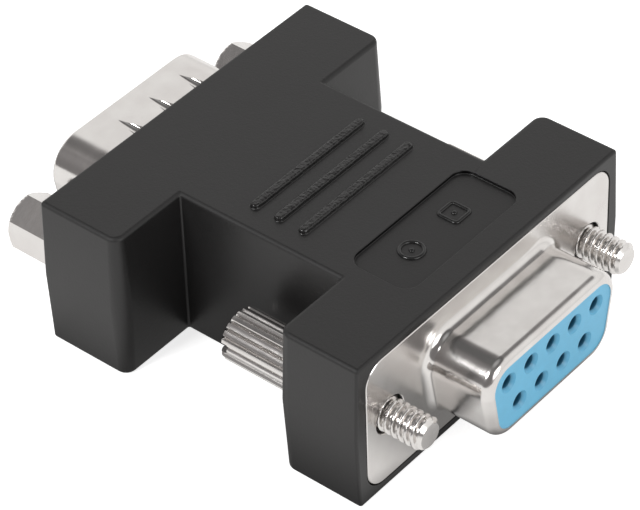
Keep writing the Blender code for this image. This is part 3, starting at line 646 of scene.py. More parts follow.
class Shapes:
    """Outlines and meshes that several sub-assemblies share."""

    WELD = 0.0001 * MM
    FINE_STEPS = 5
    MOUTH_FLARE = 1.25
    MOUTH_PROUD = 0.05

    @staticmethod
    def arc(centre: Point, radius: float, start: float, stop: float, steps: int) -> list[Point]:
        """Points of an arc, both ends included."""
        return [
            (centre[0] + radius * math.cos(start + (stop - start) * i / steps),
             centre[1] + radius * math.sin(start + (stop - start) * i / steps))
            for i in range(steps + 1)
        ]

    @classmethod
    def rounded(cls, width: float, height: float, corner: float, grow: float = 0.0,
                steps: int = 10) -> list[Point]:
        """Rounded rectangle, or one that lies outside it by grow."""
        points = []
        for i, (x, y) in enumerate(((1, 1), (-1, 1), (-1, -1), (1, -1))):
            centre = (x * (width / 2 - corner), y * (height / 2 - corner))
            points += cls.arc(centre, corner + grow, i * QUARTER, (i + 1) * QUARTER, steps)
        return points

    @staticmethod
    def quarter(steps: int) -> list[float]:
        """Angles of a quarter turn, both ends included."""
        return [i / steps * QUARTER for i in range(steps + 1)]

    @classmethod
    def blend_out(cls, radius: float) -> list[Point]:
        """(grow, depth) pairs of a rounded mouth or foot, from outside the surface to the wall."""
        return [(cls.MOUTH_FLARE * radius, -cls.MOUTH_PROUD * radius)] + [
            (radius * (1 - math.sin(turn)), radius * (1 - math.cos(turn)))
            for turn in cls.quarter(cls.FINE_STEPS)[1:]
        ]

    @classmethod
    def blend_in(cls, radius: float, height: float) -> list[Point]:
        """(grow, height) pairs of a wall's end that is rounded inwards, up to a height."""
        return [
            (-radius * (1 - math.cos(turn)), height - radius * (1 - math.sin(turn)))
            for turn in cls.quarter(cls.FINE_STEPS)
        ]

    @classmethod
    def loft(cls, name: str, rings: Sequence[Sequence[Place]],
             closed: bool = False) -> bpy.types.Mesh:
        """Skin rings of equally many points.

        Args:
            name: Name of the mesh.
            rings: Rings in order.
            closed: True joins the last ring to the first, False caps both.

        Returns:
            A closed mesh that points outwards.
        """
        shape = bmesh.new()
        loops = [[shape.verts.new(point) for point in ring] for ring in rings]
        pairs = list(zip(loops, loops[1:]))
        if closed:
            pairs.append((loops[-1], loops[0]))
        else:
            shape.faces.new(loops[0])
            shape.faces.new(loops[-1])
        for first, second in pairs:
            for i in range(len(first)):
                j = (i + 1) % len(first)
                shape.faces.new((first[i], first[j], second[j], second[i]))
        return cls.sealed(name, shape)

    @classmethod
    def sealed(cls, name: str, shape: bmesh.types.BMesh) -> bpy.types.Mesh:
        """Merge doubles, turn the faces outwards and make a mesh."""
        bmesh.ops.remove_doubles(shape, verts=shape.verts, dist=cls.WELD)
        bmesh.ops.recalc_face_normals(shape, faces=shape.faces)
        mesh = bpy.data.meshes.new(name)
        shape.to_mesh(mesh)
        shape.free()
        return mesh

    @classmethod
    def turned(cls, name: str, profile: Sequence[Point], steps: int) -> bpy.types.Mesh:
        """Turn (radius, y) points about the Y axis; the profile starts and ends on the axis."""
        shape = bmesh.new()
        rings = []
        for radius, y in profile:
            count = 1 if radius < cls.WELD else steps
            turns = [i / count * math.tau for i in range(count)]
            rings.append([
                shape.verts.new((radius * math.cos(turn), y, radius * math.sin(turn)))
                for turn in turns
            ])
        for first, second in zip(rings, rings[1:]):
            for i in range(steps):
                j = (i + 1) % steps
                face = [first[i % len(first)], first[j % len(first)],
                        second[j % len(second)], second[i % len(second)]]
                corners = list(dict.fromkeys(face))
                if len(corners) > 2:
                    shape.faces.new(corners)
        return cls.sealed(name, shape)

    @staticmethod
    def carved(base: bpy.types.Mesh, steps: Sequence[Cut]) -> bpy.types.Mesh:
        """Join or cut meshes one after another.

        Args:
            base: Mesh that is shaped.
            steps: Pairs of a Boolean operation and the mesh it uses.

        Returns:
            The resulting mesh.
        """
        with ExitStack() as stack:
            holder = stack.enter_context(on_stand(base))
            for operation, mesh in steps:
                step = holder.modifiers.new(mesh.name, "BOOLEAN")
                step.operation = operation
                step.solver = "EXACT"
                step.object = stack.enter_context(on_stand(mesh))
            return evaluated(holder)

    @staticmethod
    def softened(mesh: bpy.types.Mesh, sharp_degrees: float = 32.0) -> bpy.types.Mesh:
        """Shade smooth up to sharp edges, with flat faces kept flat.

        Args:
            mesh: Mesh to shade.
            sharp_degrees: Edges sharper than this stay hard.

        Returns:
            A new mesh with weighted normals.
        """
        mesh.shade_smooth()
        mesh.set_sharp_from_angle(angle=math.radians(sharp_degrees))
        with on_stand(mesh) as holder:
            holder.modifiers.new("normals", "WEIGHTED_NORMAL").keep_sharp = True
            return evaluated(holder)


class GeometryTree(NodeBuilder):
    """Geometry Nodes tree with named inputs, turned into plain meshes."""

    def __init__(self, name: str) -> None:
        """Start an empty tree that takes a material."""
        super().__init__(bpy.data.node_groups.new(name, "GeometryNodeTree"))
        self.tree.interface.new_socket(
            "Geometry", in_out="OUTPUT", socket_type="NodeSocketGeometry")
        self.entry = self.tree.nodes.new("NodeGroupInput")
        self.identifiers: dict[str, str] = {}
        self.material = self.input("Material", "Material")

    def input(self, name: str, kind: str) -> Signal:
        """Add a named input.

        Args:
            name: Name of the input.
            kind: Socket kind, such as Float, Int, Vector, Object or Material.

        Returns:
            The input's signal.
        """
        item = self.tree.interface.new_socket(name, in_out="INPUT", socket_type=f"NodeSocket{kind}")
        self.identifiers[name] = item.identifier
        return Signal(self, self.entry, item.identifier)

    def floats(self, *names: str) -> list[Signal]:
        """Several named Float inputs."""
        return [self.input(name, "Float") for name in names]

    def vector(self, x: Operand, y: Operand, z: Operand) -> Signal:
        """Vector of three values."""
        return self.node("ShaderNodeCombineXYZ", values={0: x, 1: y, 2: z})

    def transformed(self, geometry: Signal, shift: Signal, turn: "Signal | Place") -> Signal:
        """Geometry turned and then shifted."""
        return self.node("GeometryNodeTransform", values={
            "Geometry": geometry, "Translation": shift, "Rotation": turn})

    def copies(self, item: Signal, points: Signal) -> Signal:
        """A copy of an object at each point."""
        shape = self.node("GeometryNodeObjectInfo", values={"Object": item}, output="Geometry")
        return self.node("GeometryNodeInstanceOnPoints", values={
            "Points": points, "Instance": shape})

    def close(self, geometry: Signal) -> None:
        """End the tree in real geometry with the input material."""
        real = self.node("GeometryNodeRealizeInstances", values={0: geometry})
        dressed = self.node("GeometryNodeSetMaterial", values={
            "Geometry": real, "Material": self.material})
        self.node("NodeGroupOutput", values={0: dressed})

    def mesh(self, name: str, values: dict[str, object]) -> bpy.types.Mesh:
        """Run the tree.

        Args:
            name: Name of the mesh.
            values: Value of each named input.

        Returns:
            The plain mesh that the tree makes.
        """
        with on_stand(bpy.data.meshes.new(name)) as holder:
            modifier = holder.modifiers.new(name, "NODES")
            modifier.node_group = self.tree
            for key, value in values.items():
                modifier[self.identifiers[key]] = value
            mesh = evaluated(holder)
        mesh.name = name
        return mesh


class RadialTree(GeometryTree):
    """Tree whose piece is a cylinder with its radius changed by angle and height."""

    def __init__(self, name: str) -> None:
        """Lay out the cylinder and its polar coordinates."""
        super().__init__(name)
        self.radius, self.length = self.floats("Radius", "Length")
        self.place = self.input("Place", "Vector")
        columns = self.input("Columns", "Int")
        rows = self.input("Rows", "Int")
        self.cylinder = self.node("GeometryNodeMeshCylinder", {"fill_type": "NGON"}, {
            "Vertices": columns, "Side Segments": rows,
            "Radius": self.radius, "Depth": self.length})
        position = self.node("GeometryNodeInputPosition")
        self.x = self.node("ShaderNodeSeparateXYZ", values={0: position})
        self.y = self.x.pick("Y")
        self.z = self.x.pick("Z")
        self.turn = self.y.math("ARCTAN2", self.x) / math.tau
        self.from_end = self.length / 2 - abs(self.z)

    def reshaped(self, radius: Signal) -> Signal:
        """Cylinder with its points moved to a new radius, lying along Y at its place."""
        share = radius / self.radius
        moved = self.node("GeometryNodeSetPosition", values={
            "Geometry": self.cylinder,
            "Position": self.vector(self.x * share, self.y * share, self.z)})
        return self.transformed(moved, self.place, (QUARTER, 0.0, 0.0))


class ThreadTree(RadialTree):
    """Right-hand screw thread with a chamfer at both ends."""

    FLANK = 1.5
    ROOT = 0.2

    def __init__(self) -> None:
        """Build the tree."""
        super().__init__("screw_thread")
        pitch, depth, chamfer = self.floats("Pitch", "Depth", "Chamfer")
        phase = (self.z / pitch - self.turn).math("FRACT")
        flank = (1.0 - abs(2.0 * phase - 1.0)) * self.FLANK - self.ROOT
        crest = flank.clamped().eased()
        radius = self.radius - depth * (1.0 - crest)
        self.close(self.reshaped(radius.least(self.radius - chamfer + self.from_end)))


class KnurlTree(RadialTree):
    """Straight-knurled knob with rounded ends and a screwdriver slot across one of them."""

    GROOVE_SHARE = 0.36
    CROWN_SHARE = 0.1

    def __init__(self) -> None:
        """Build the tree."""
        super().__init__("knurled_knob")
        teeth, depth, rounding = self.floats("Teeth", "Depth", "Rounding")
        slot_width, slot_depth, slot_turn = self.floats("Slot width", "Slot depth", "Slot turn")
        off_groove = abs(2.0 * (self.turn * teeth).math("FRACT") - 1.0)
        groove = (1.0 - off_groove / self.GROOVE_SHARE).clamped()
        crown = (1.0 - off_groove) * self.CROWN_SHARE
        near = (self.from_end / rounding).least(1.0)
        drop = 1.0 - (near * (2.0 - near)).math("SQRT")
        radius = self.radius - depth * (groove + crown) - rounding * drop
        bar = self.node("GeometryNodeMeshCube", values={
            "Size": self.vector(self.radius * 4.0, slot_depth * 2.0, slot_width)})
        at_end = self.node("ShaderNodeVectorMath", {"operation": "ADD"}, {
            0: self.place, 1: self.vector(0.0, self.length / 2.0, 0.0)})
        cutter = self.transformed(bar, at_end, self.vector(0.0, slot_turn, 0.0))
        settings = {"operation": "DIFFERENCE", "solver": "EXACT"}
        self.close(self.node("GeometryNodeMeshBoolean", settings, {
            "Mesh 1": self.reshaped(radius), "Mesh 2": cutter}))


class HexagonTree(RadialTree):
    """Hexagonal bar with a cone turned on one end."""

    CONE_SLOPE = 1.3

    def __init__(self) -> None:
        """Build the tree; Radius is half the width across flats."""
        super().__init__("hexagonal_nut")
        cone = self.input("Cone", "Float")
        sixth = (self.turn * 6.0 + 0.5).math("FRACT") - 0.5
        off_flat = sixth * (math.tau / 6.0)
        hexagon = self.radius / off_flat.math("COSINE")
        corner = self.radius * (2.0 / math.sqrt(3.0))
        from_tip = self.length / 2.0 + self.z
        limit = corner - cone + from_tip * self.CONE_SLOPE
        self.close(self.reshaped(hexagon.least(limit)))


class PatternTree(GeometryTree):
    """Copies of one object in two rows, the contact pattern of a connector."""

    def __init__(self) -> None:
        """Build the tree."""
        super().__init__("contact_pattern")
        item = self.input("Item", "Object")
        pitch, spacing, height = self.floats("Pitch", "Row spacing", "Height")
        upper = self.row(self.input("Upper count", "Int"), pitch, height + spacing / 2.0)
        lower = self.row(self.input("Lower count", "Int"), pitch, height - spacing / 2.0)
        rows = self.node("GeometryNodeJoinGeometry", values={0: upper})
        self.tree.links.new(lower.socket, rows.node.inputs[0])
        self.close(self.copies(item, rows))

    def row(self, count: Signal, pitch: Signal, height: Signal) -> Signal:
        """Points of one row, centred across the width."""
        start = (count - 1.0) * pitch / -2.0
        return self.node("GeometryNodeMeshLine", values={
            "Count": count, "Start Location": self.vector(start, 0.0, height),
            "Offset": self.vector(pitch, 0.0, 0.0)})


class RowTree(GeometryTree):
    """Copies of one object at equal steps."""

    def __init__(self) -> None:
        """Build the tree."""
        super().__init__("row_of_copies")
        item = self.input("Item", "Object")
        start = self.input("Start", "Vector")
        step = self.input("Step", "Vector")
        line = self.node("GeometryNodeMeshLine", values={
            "Count": self.input("Count", "Int"), "Start Location": start, "Offset": step})
        self.close(self.copies(item, line))


@dataclass
class Workbench:
    """Trees and shared sizes that the sub-assemblies build with."""

    layout: Layout
    finishes: Finishes
    thread: ThreadTree = field(default_factory=ThreadTree)
    knurl: KnurlTree = field(default_factory=KnurlTree)
    hexagon: HexagonTree = field(default_factory=HexagonTree)
    pattern: PatternTree = field(default_factory=PatternTree)
    row: RowTree = field(default_factory=RowTree)

    def with_item(self, tree: GeometryTree, mesh: bpy.types.Mesh,
                  values: dict[str, object]) -> bpy.types.Mesh:
        """Run a tree that copies one mesh."""
        with on_stand(mesh) as item:
            return tree.mesh(f"{mesh.name}_set", {"Item": item, **values})

    def on_contacts(self, mesh: bpy.types.Mesh, material: bpy.types.Material) -> bpy.types.Mesh:
        """One mesh with a copy of another at each contact."""
        layout = self.layout
        return self.with_item(self.pattern, mesh, {
            "Pitch": layout.contact_pitch, "Row spacing": layout.row_spacing,
            "Height": layout.axis_height, "Upper count": layout.upper_contacts,
            "Lower count": layout.lower_contacts, "Material": material})

    @staticmethod
    def piece(name: str, mesh: bpy.types.Mesh, material: bpy.types.Material, slot: Slot,
              replaced: Sequence[str] = (), body: str = ADAPTER) -> None:
        """Put a finished mesh in the scene.

        Args:
            name: Name of the piece.
            mesh: Mesh in the model's frame.
            material: Its finish.
            slot: Material slot of the record; not used.
            replaced: CAD nodes that it stands for.
            body: CAD body that it rides on.
        """
        mesh.materials.clear()
        mesh.materials.append(material)
        made = placed(name, mesh)
        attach(made, body)
        if replaced:
            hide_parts(*replaced)
        log.info("%s: %d faces on %s", name, len(mesh.polygons), body)


@dataclass
class Moulding:
    """Black body: H-shaped in plan, with finger ribs and a sunk label panel."""

    bench: Workbench
    width: float = 33.05 * MM
    neck_width: float = 18.28 * MM
    socket_flange_depth: float = 7.85 * MM
    plug_flange_depth: float = 8.25 * MM
    draft: float = 0.3 * MM
    face_round: float = 0.25 * MM
    flange_round: float = 1.3 * MM
    neck_fillet: float = 0.2 * MM
    corner_steps: int = 10
    edge_steps: int = 8
    rib_count: int = 3
    rib_pitch: float = 2.43 * MM
    rib_length: float = 13.5 * MM
    rib_middle: float = -0.2 * MM
    rib_width: float = 0.8 * MM
    rib_height: float = 0.35 * MM
    rib_foot: float = 0.12 * MM
    rib_crown: float = 0.2 * MM
    panel_width: float = 14.2 * MM
    panel_length: float = 5.95 * MM
    panel_from_face: float = 2.4 * MM
    panel_corner: float = 1.3 * MM
    panel_foot: float = 0.06 * MM
    mouth_round: float = 0.06 * MM
    rear_width: float = 19.32 * MM
    rear_height: float = 10.76 * MM
    rear_corner: float = 1.6 * MM
    rear_wall: float = 0.9 * MM
    tunnel_width: float = 14.18 * MM
    tunnel_height: float = 9.34 * MM
    tunnel_corner: float = 1.2 * MM
    bore_lip: float = 4.0 * MM
    bore_narrow: float = 2.4 * MM
    stud_depth: float = 5.3 * MM

    @staticmethod
    def inset(radius: float, height: float) -> float:
        """How far an edge round draws the side in at a height from its face."""
        if height >= radius:
            return 0.0
        return radius - math.sqrt(radius ** 2 - (radius - height) ** 2)

    def outline(self, side_inset: float, face_inset: float, z: float) -> list[Place]:
        """Plan outline at one height.

        Args:
            side_inset: How far the sides are drawn in.
            face_inset: How far the two end faces are drawn in.
            z: Height.

        Returns:
            Points in order round the body.
        """
        layout = self.bench.layout
        outer = self.width / 2 - side_inset
        neck = self.neck_width / 2 - side_inset
        face = layout.depth_y(End.SOCKET, face_inset)
        back = layout.depth_y(End.SOCKET, self.socket_flange_depth - side_inset)
        plug_back = layout.depth_y(End.PLUG, self.plug_flange_depth - side_inset)
        plug_face = layout.depth_y(End.PLUG, face_inset)
        least = self.face_round / 4
        at_face = max(self.face_round - face_inset, least)
        at_back = max(self.flange_round - side_inset, least)
        half = [
            (outer, face, at_face), (outer, back, at_back), (neck, back, self.neck_fillet),
            (neck, plug_back, self.neck_fillet), (outer, plug_back, at_back),
            (outer, plug_face, at_face),
        ]
        corners = half + [(-x, y, radius) for x, y, radius in reversed(half)]
        points = []
        for i, (x, y, radius) in enumerate(corners):
            here = Vector((x, y))
            before = (Vector(corners[i - 1][:2]) - here).normalized()
            after = (Vector(corners[(i + 1) % len(corners)][:2]) - here).normalized()
            centre = here + radius * (before + after)
            for turn in Shapes.quarter(self.corner_steps):
                point = centre - radius * (after * math.cos(turn) + before * math.sin(turn))
                points.append((point.x, point.y, z))
        return points

    def blank(self) -> bpy.types.Mesh:
        """Solid body, drafted from its mid-height and rounded along every edge."""
        height, edge_round = self.bench.layout.body_height, self.bench.layout.edge_round
        turns = Shapes.quarter(self.edge_steps)
        levels = [edge_round * (1 - math.cos(turn)) for turn in turns]
        rings = []
        for z in levels + [height / 2] + [height - level for level in reversed(levels)]:
            from_face = min(z, height - z)
            drafted = self.draft * (1 - from_face / (height / 2))
            side = drafted + self.inset(edge_round, from_face)
            rings.append(self.outline(side, self.inset(self.face_round, from_face), z))
        return Shapes.loft("moulding", rings)

    @staticmethod
    def flat_block(name: str, width: float, length: float, corner: float, centre_y: float,
                   levels: Sequence[Point]) -> bpy.types.Mesh:
        """Upright block with rounded corners, from (grow, z) levels."""
        rings = [
            [(x, centre_y + y, z) for x, y in Shapes.rounded(width, length, corner, grow)]
            for grow, z in levels
        ]
        return Shapes.loft(name, rings)

    def ribs(self) -> bpy.types.Mesh:
        """Finger ribs with a filleted foot and a rounded top."""
        top = self.bench.layout.body_height
        foot = Shapes.blend_out(self.rib_foot)
        levels = [(foot[0][0], top - self.rib_height)]
        levels += [(grow, top + rise) for grow, rise in foot]
        levels += Shapes.blend_in(self.rib_crown, top + self.rib_height)
        rib = self.flat_block("finger_rib", self.rib_length, self.rib_width, self.rib_width / 2,
                              0.0, levels)
        start = self.rib_middle - (self.rib_count - 1) / 2 * self.rib_pitch
        return self.bench.with_item(self.bench.row, rib, {
            "Count": self.rib_count, "Start": (0.0, start, 0.0),
            "Step": (0.0, self.rib_pitch, 0.0), "Material": self.bench.finishes.moulding})

    def panel(self) -> bpy.types.Mesh:
        """Space of the label panel, with a rounded mouth and foot."""
        layout = self.bench.layout
        top = layout.body_height
        centre_y = layout.depth_y(End.SOCKET, self.panel_from_face + self.panel_length / 2)
        mouth = Shapes.blend_out(self.mouth_round)
        foot = Shapes.blend_in(self.panel_foot, layout.panel_depth)
        levels = [(mouth[0][0], top + layout.panel_depth)]
        levels += [(grow, top - depth) for grow, depth in mouth + foot]
        return self.flat_block("label_panel", self.panel_width, self.panel_length,
                               self.panel_corner, centre_y, levels)

    def end_cuts(self, end: End) -> list[Cut]:
        """Seat of the flanges and pocket of the rear shell at one end."""
        layout = self.bench.layout
        depths = {End.SOCKET: self.socket_flange_depth, End.PLUG: self.plug_flange_depth}
        mouth = Shapes.blend_out(self.mouth_round)
        seat = [(layout.flange(layout.gap + mouth[0][0]), -layout.cutter_reach)]
        seat += [(layout.flange(layout.gap + grow), depth) for grow, depth in mouth]
        seat += [(layout.flange(layout.gap), layout.seat_depth)]
        pocket = Shapes.rounded(self.rear_width, self.rear_height, self.rear_corner, layout.gap)
        floor = depths[end] - self.rear_wall
        spaces = {"seat": seat, "pocket": [(pocket, -layout.cutter_reach), (pocket, floor)]}
        return [
            ("DIFFERENCE", Shapes.loft(f"{end.name.lower()}_{name}", layout.end_rings(end, space)))
            for name, space in spaces.items()
        ]

    def bore_cuts(self) -> list[Cut]:
        """Stepped thumbscrew bores, stud bores and the tunnel for the wires."""
        layout = self.bench.layout
        wide, narrow, outside = layout.hole_diameter / 2, self.bore_narrow / 2, -layout.cutter_reach
        lip, behind = (self.socket_flange_depth + step for step in (-self.bore_lip, self.bore_lip))
        screw = layout.along_y(End.SOCKET, [
            (0.0, behind), (narrow, behind), (narrow, lip), (wide, lip), (wide, outside),
            (0.0, outside)])
        radius, bottom = layout.screw_diameter / 2 + layout.gap, self.stud_depth
        stud = layout.along_y(End.PLUG, [
            (0.0, outside), (radius, outside), (radius, bottom), (0.0, bottom)])
        tunnel = Shapes.rounded(self.tunnel_width, self.tunnel_height, self.tunnel_corner)
        through = layout.end_rings(End.SOCKET, [
            (tunnel, outside), (tunnel, layout.body_length - outside)])
        return [
            ("DIFFERENCE", Shapes.loft("wire_tunnel", through)),
            *layout.screw_cuts("thumbscrew_bore", screw), *layout.screw_cuts("stud_bore", stud),
        ]

    def build(self) -> None:
        """Make the body."""
        steps = [("UNION", self.ribs()), ("DIFFERENCE", self.panel())]
        steps += self.end_cuts(End.SOCKET) + self.end_cuts(End.PLUG) + self.bore_cuts()
        mesh = Shapes.softened(Shapes.carved(self.blank(), steps))
        self.bench.piece("moulding", mesh, self.bench.finishes.moulding, Slot.MOULDING,
                         ["overmould_body"])


@dataclass
class PanelMarks:
    """Two plain raised marks on the label panel: a ring and a square, each with a dot inside."""

    bench: Workbench
    height: float = 0.16 * MM
    stroke: float = 0.36 * MM
    ring_place: Point = (-2.85 * MM, -10.33 * MM)
    ring_size: float = 2.3 * MM
    square_place: Point = (2.6 * MM, -10.19 * MM)
    square_size: float = 2.2 * MM
    square_corner: float = 0.3 * MM
    dot_size: float = 0.5 * MM
    round_steps: int = 16
    dot_steps: int = 24
    sharp_degrees: float = 50.0

    @property
    def floor(self) -> float:
        """Height of the panel's floor."""
        return self.bench.layout.body_height - self.bench.layout.panel_depth

    def crown(self, half: float) -> list[Point]:
        """(grow, rise) points of a rounded top, from its side to its middle."""
        turns = Shapes.quarter(Shapes.FINE_STEPS)
        return [(half * math.cos(turn), self.height * math.sin(turn)) for turn in turns]

    def band(self, name: str, place: Point, size: float, corner: float) -> bpy.types.Mesh:
        """Raised closed line with a rounded top, sunk a little into the panel."""
        side = size - self.stroke
        half = self.stroke / 2
        sections = [(half, -self.height), *self.crown(half)]
        sections += [(-grow, rise) for grow, rise in reversed(sections)]
        rings = []
        for grow, rise in sections:
            outline = Shapes.rounded(side, side, corner, grow, self.round_steps)
            rings.append([(place[0] + x, place[1] + y, self.floor + rise) for x, y in outline])
        return Shapes.loft(name, rings, closed=True)

    def dot(self, name: str, place: Point) -> bpy.types.Mesh:
        """Small domed dot."""
        half = self.dot_size / 2
        profile = [(0.0, -self.height), (half, -self.height), *self.crown(half)]
        mesh = Shapes.turned(name, profile, self.dot_steps)
        upright = Matrix.Rotation(QUARTER, 4, "X")
        mesh.transform(Matrix.Translation((*place, self.floor)) @ upright)
        return mesh

    def build(self) -> None:
        """Make both marks as one piece."""
        shape = bmesh.new()
        radius = (self.ring_size - self.stroke) / 2
        for mesh in (
            self.band("ring", self.ring_place, self.ring_size, radius - Shapes.WELD),
            self.band("square", self.square_place, self.square_size, self.square_corner),
            self.dot("ring_dot", self.ring_place),
            self.dot("square_dot", self.square_place),
        ):
            shape.from_mesh(mesh)
        mesh = Shapes.softened(Shapes.sealed("panel_marks", shape), self.sharp_degrees)
        self.bench.piece("panel_marks", mesh, self.bench.finishes.marks, Slot.MOULDING)


@dataclass
class Shell:
    """Drawn front shell of one connector: flange, bend, D shroud and rim."""

    bench: Workbench
    end: End
    width: float
    height: float
    corner: float
    reach: float
    roll: float
    bend: float = 0.8 * MM
    crisp: float = 0.06 * MM
    hole_ease: float = 0.08 * MM
    lean: float = math.radians(10.0)
    steps: int = 10

    def outline(self, grow: float) -> list[Point]:
        """D outline, wide side up, grown by an amount."""
        top = self.width / 2 - self.corner
        height = self.height / 2 - self.corner
        bottom = top - 2 * height * math.tan(self.lean)
        corners = (
            ((top, height), -self.lean, QUARTER),
            ((-top, height), QUARTER, 2 * QUARTER + self.lean),
            ((-bottom, -height), 2 * QUARTER + self.lean, 3 * QUARTER),
            ((bottom, -height), 3 * QUARTER, 4 * QUARTER - self.lean),
        )
        points = []
        for centre, start, stop in corners:
            points += Shapes.arc(centre, self.corner + grow, start, stop, self.steps)
        return points

    def rim(self) -> list[Point]:
        """(grow, depth) pairs over the rim, from the outside of the shroud to the inside."""
        wall = self.bench.layout.wall
        quarter = Shapes.quarter(self.steps)
        if self.roll:
            outer = [(self.roll, turn) for turn in quarter]
            inner = [(self.roll - wall, turn) for turn in reversed(quarter)]
            centre = self.roll
            arc = outer + inner
        else:
            centre = wall / 2
            arc = [(centre, 2 * turn) for turn in quarter]
        return [
            (radius * math.cos(turn) - centre, centre - self.reach - radius * math.sin(turn))
            for radius, turn in arc
        ]

    def blank(self) -> bpy.types.Mesh:
        """Whole shell before its dimples and holes."""
        layout = self.bench.layout
        bend, crisp, wall = self.bend, self.crisp, layout.wall
        quarter = Shapes.quarter(self.steps)
        flange = [(-crisp, wall), (0.0, wall - crisp), (0.0, crisp), (-crisp, 0.0)]
        sections = [(layout.flange(grow), depth) for grow, depth in flange]
        pairs = [(bend * (1 - math.sin(turn)), -bend * (1 - math.cos(turn))) for turn in quarter]
        pairs += self.rim()
        pairs += [
            (bend - (bend + wall) * math.sin(turn), (bend + wall) * math.cos(turn) - bend)
            for turn in reversed(quarter)
        ]
        sections += [(self.outline(grow), depth) for grow, depth in pairs]
        rings = layout.end_rings(self.end, sections)
        return Shapes.loft(f"{self.end.name.lower()}_shell", rings, closed=True)

    def hole_cuts(self) -> list[Cut]:
        """Screw holes through both ears, with a slightly rounded edge."""
        layout = self.bench.layout
        radius, ease = layout.hole_diameter / 2, self.hole_ease
        before, behind = -2 * ease, layout.wall + ease
        return layout.screw_cuts("screw_hole", layout.along_y(self.end, [
            (0.0, before), (radius + ease, before), (radius + ease, -ease / 10), (radius, ease),
            (radius, behind), (0.0, behind)]))

    def dimple_steps(self) -> list[Cut]:
        """No dimples on a plain shroud."""
        return []

    def build(self) -> None:
        """Make the shell."""
        mesh = Shapes.carved(self.blank(), self.dimple_steps() + self.hole_cuts())
        word = self.end.name.lower()
        self.bench.piece(f"{word}_shell", Shapes.softened(mesh), self.bench.finishes.shell,
                         Slot.SHELL, [f"{word}_front_shell"])


@dataclass
class DimpledShell(Shell):
    """Shell whose shroud is pressed with wedge dimples that grip the mating shell."""

    pitch: float = 3.73 * MM
    shift: float = 0.9 * MM
    tip_reach: float = 4.1 * MM
    length: float = 2.9 * MM
    half_width: float = 0.6 * MM
    dent: float = 0.42 * MM
    backing: float = 0.45 * MM
    above: int = 3
    below: int = 2
    nose_steps: int = 6
    round_steps: int = 32

    def wedge(self, name: str, depth: float) -> bpy.types.Mesh:
        """Wedge lying in the plane z = 0, its tip towards the rim and its blunt end round."""
        half = self.half_width
        profile = [(0.0, self.length), (1.0, half)]
        turns = Shapes.quarter(self.nose_steps)[1:]
        profile += [(math.cos(turn), half * (1 - math.sin(turn))) for turn in turns]
        mesh = Shapes.turned(name, profile, self.round_steps)
        mesh.transform(Matrix.Diagonal((half, 1.0, depth, 1.0)))
        tip = self.bench.layout.depth_y(self.end, -self.tip_reach)
        mesh.transform(Matrix.Translation((0.0, tip - self.length, 0.0)))
        return mesh

    def dimple_steps(self) -> list[Cut]:
        """Metal pushed through inside, then the dents outside, on both broad sides."""
        half = self.height / 2
        axis = self.bench.layout.axis_height
        inner = half - self.bench.layout.wall
        steps = []
        for operation, level, depth in (
            ("UNION", inner, self.backing), ("DIFFERENCE", half, self.dent),
        ):
            for sign, count, shift in ((1, self.above, self.shift), (-1, self.below, 0.0)):
                start = shift - (count - 1) / 2 * self.pitch
                mesh = self.bench.with_item(self.bench.row, self.wedge("dimple", depth), {
                    "Count": count, "Start": (start, 0.0, axis + sign * level),
                    "Step": (self.pitch, 0.0, 0.0), "Material": self.bench.finishes.shell})
                steps.append((operation, mesh))
        return steps


@dataclass
class Insulator:
    """Moulded block that carries the contacts of one end and fills its shell."""

    bench: Workbench
    shell: Shell
    block_width: float = 18.12 * MM
    block_height: float = 9.56 * MM
    block_corner: float = 1.0 * MM
    block_back: float = 6.25 * MM
    hole: float = 1.2 * MM
    hole_steps: int = 40

    def make(self, name: str, sections: Sequence[Section], profile: Sequence[Point],
             material: bpy.types.Material, slot: Slot) -> None:
        """Put the insulator in the scene, with a turned hole at each contact.

        Args:
            name: Name of the piece.
            sections: Sections inside the shroud, from the flange to the front.
            profile: (radius, depth) points of a hole.
            material: Its finish.
            slot: Material slot of the record.
        """
        layout, end = self.bench.layout, self.shell.end
        outline = Shapes.rounded(self.block_width, self.block_height, self.block_corner)
        block = [(outline, self.block_back), (outline, layout.wall + layout.gap)]
        mesh = Shapes.loft(name, layout.end_rings(end, [*block, *sections]))
        cutter = Shapes.turned(f"{name}_hole", layout.along_y(end, profile), self.hole_steps)
        holes = self.bench.on_contacts(cutter, material)
        drilled = Shapes.softened(Shapes.carved(mesh, [("DIFFERENCE", holes)]))
        self.bench.piece(name, drilled, material, slot, [f"{end.name.lower()}_insulator"])


@dataclass
class SocketInsulator(Insulator):
    """Blue insulator that fills the socket shroud, with a countersunk hole for each pin."""

    sink: float = 0.08 * MM
    edge: float = 0.05 * MM
    countersink: float = 1.75 * MM
    slope: float = 0.3 * MM
    web: float = 1.8 * MM
    cavity: float = 1.8 * MM
    cavity_back: float = 7.0 * MM

    def build(self) -> None:
        """Make the insulator."""
        layout, shell = self.bench.layout, self.shell
        front = self.sink - shell.reach
        shoulder = shell.roll - shell.reach
        behind = layout.wall + layout.gap
        nose = shell.outline(-behind)
        throat = layout.gap - shell.roll
        sections = [
            (nose, behind), (nose, shoulder + shell.roll - layout.wall + layout.gap),
            (shell.outline(-shell.roll - layout.gap), shoulder),
            (shell.outline(throat), front + self.edge), (shell.outline(throat - self.edge), front),
        ]
        hole, mouth, cavity = self.hole / 2, self.countersink / 2, self.cavity / 2
        profile = [
            (0.0, front - self.slope), (2 * mouth - hole, front - self.slope),
            (hole, front + self.slope), (hole, front + self.web), (cavity, front + self.web),
            (cavity, self.cavity_back), (0.0, self.cavity_back),
        ]
        self.make("blue_insulator", sections, profile, self.bench.finishes.blue, Slot.BLUE)


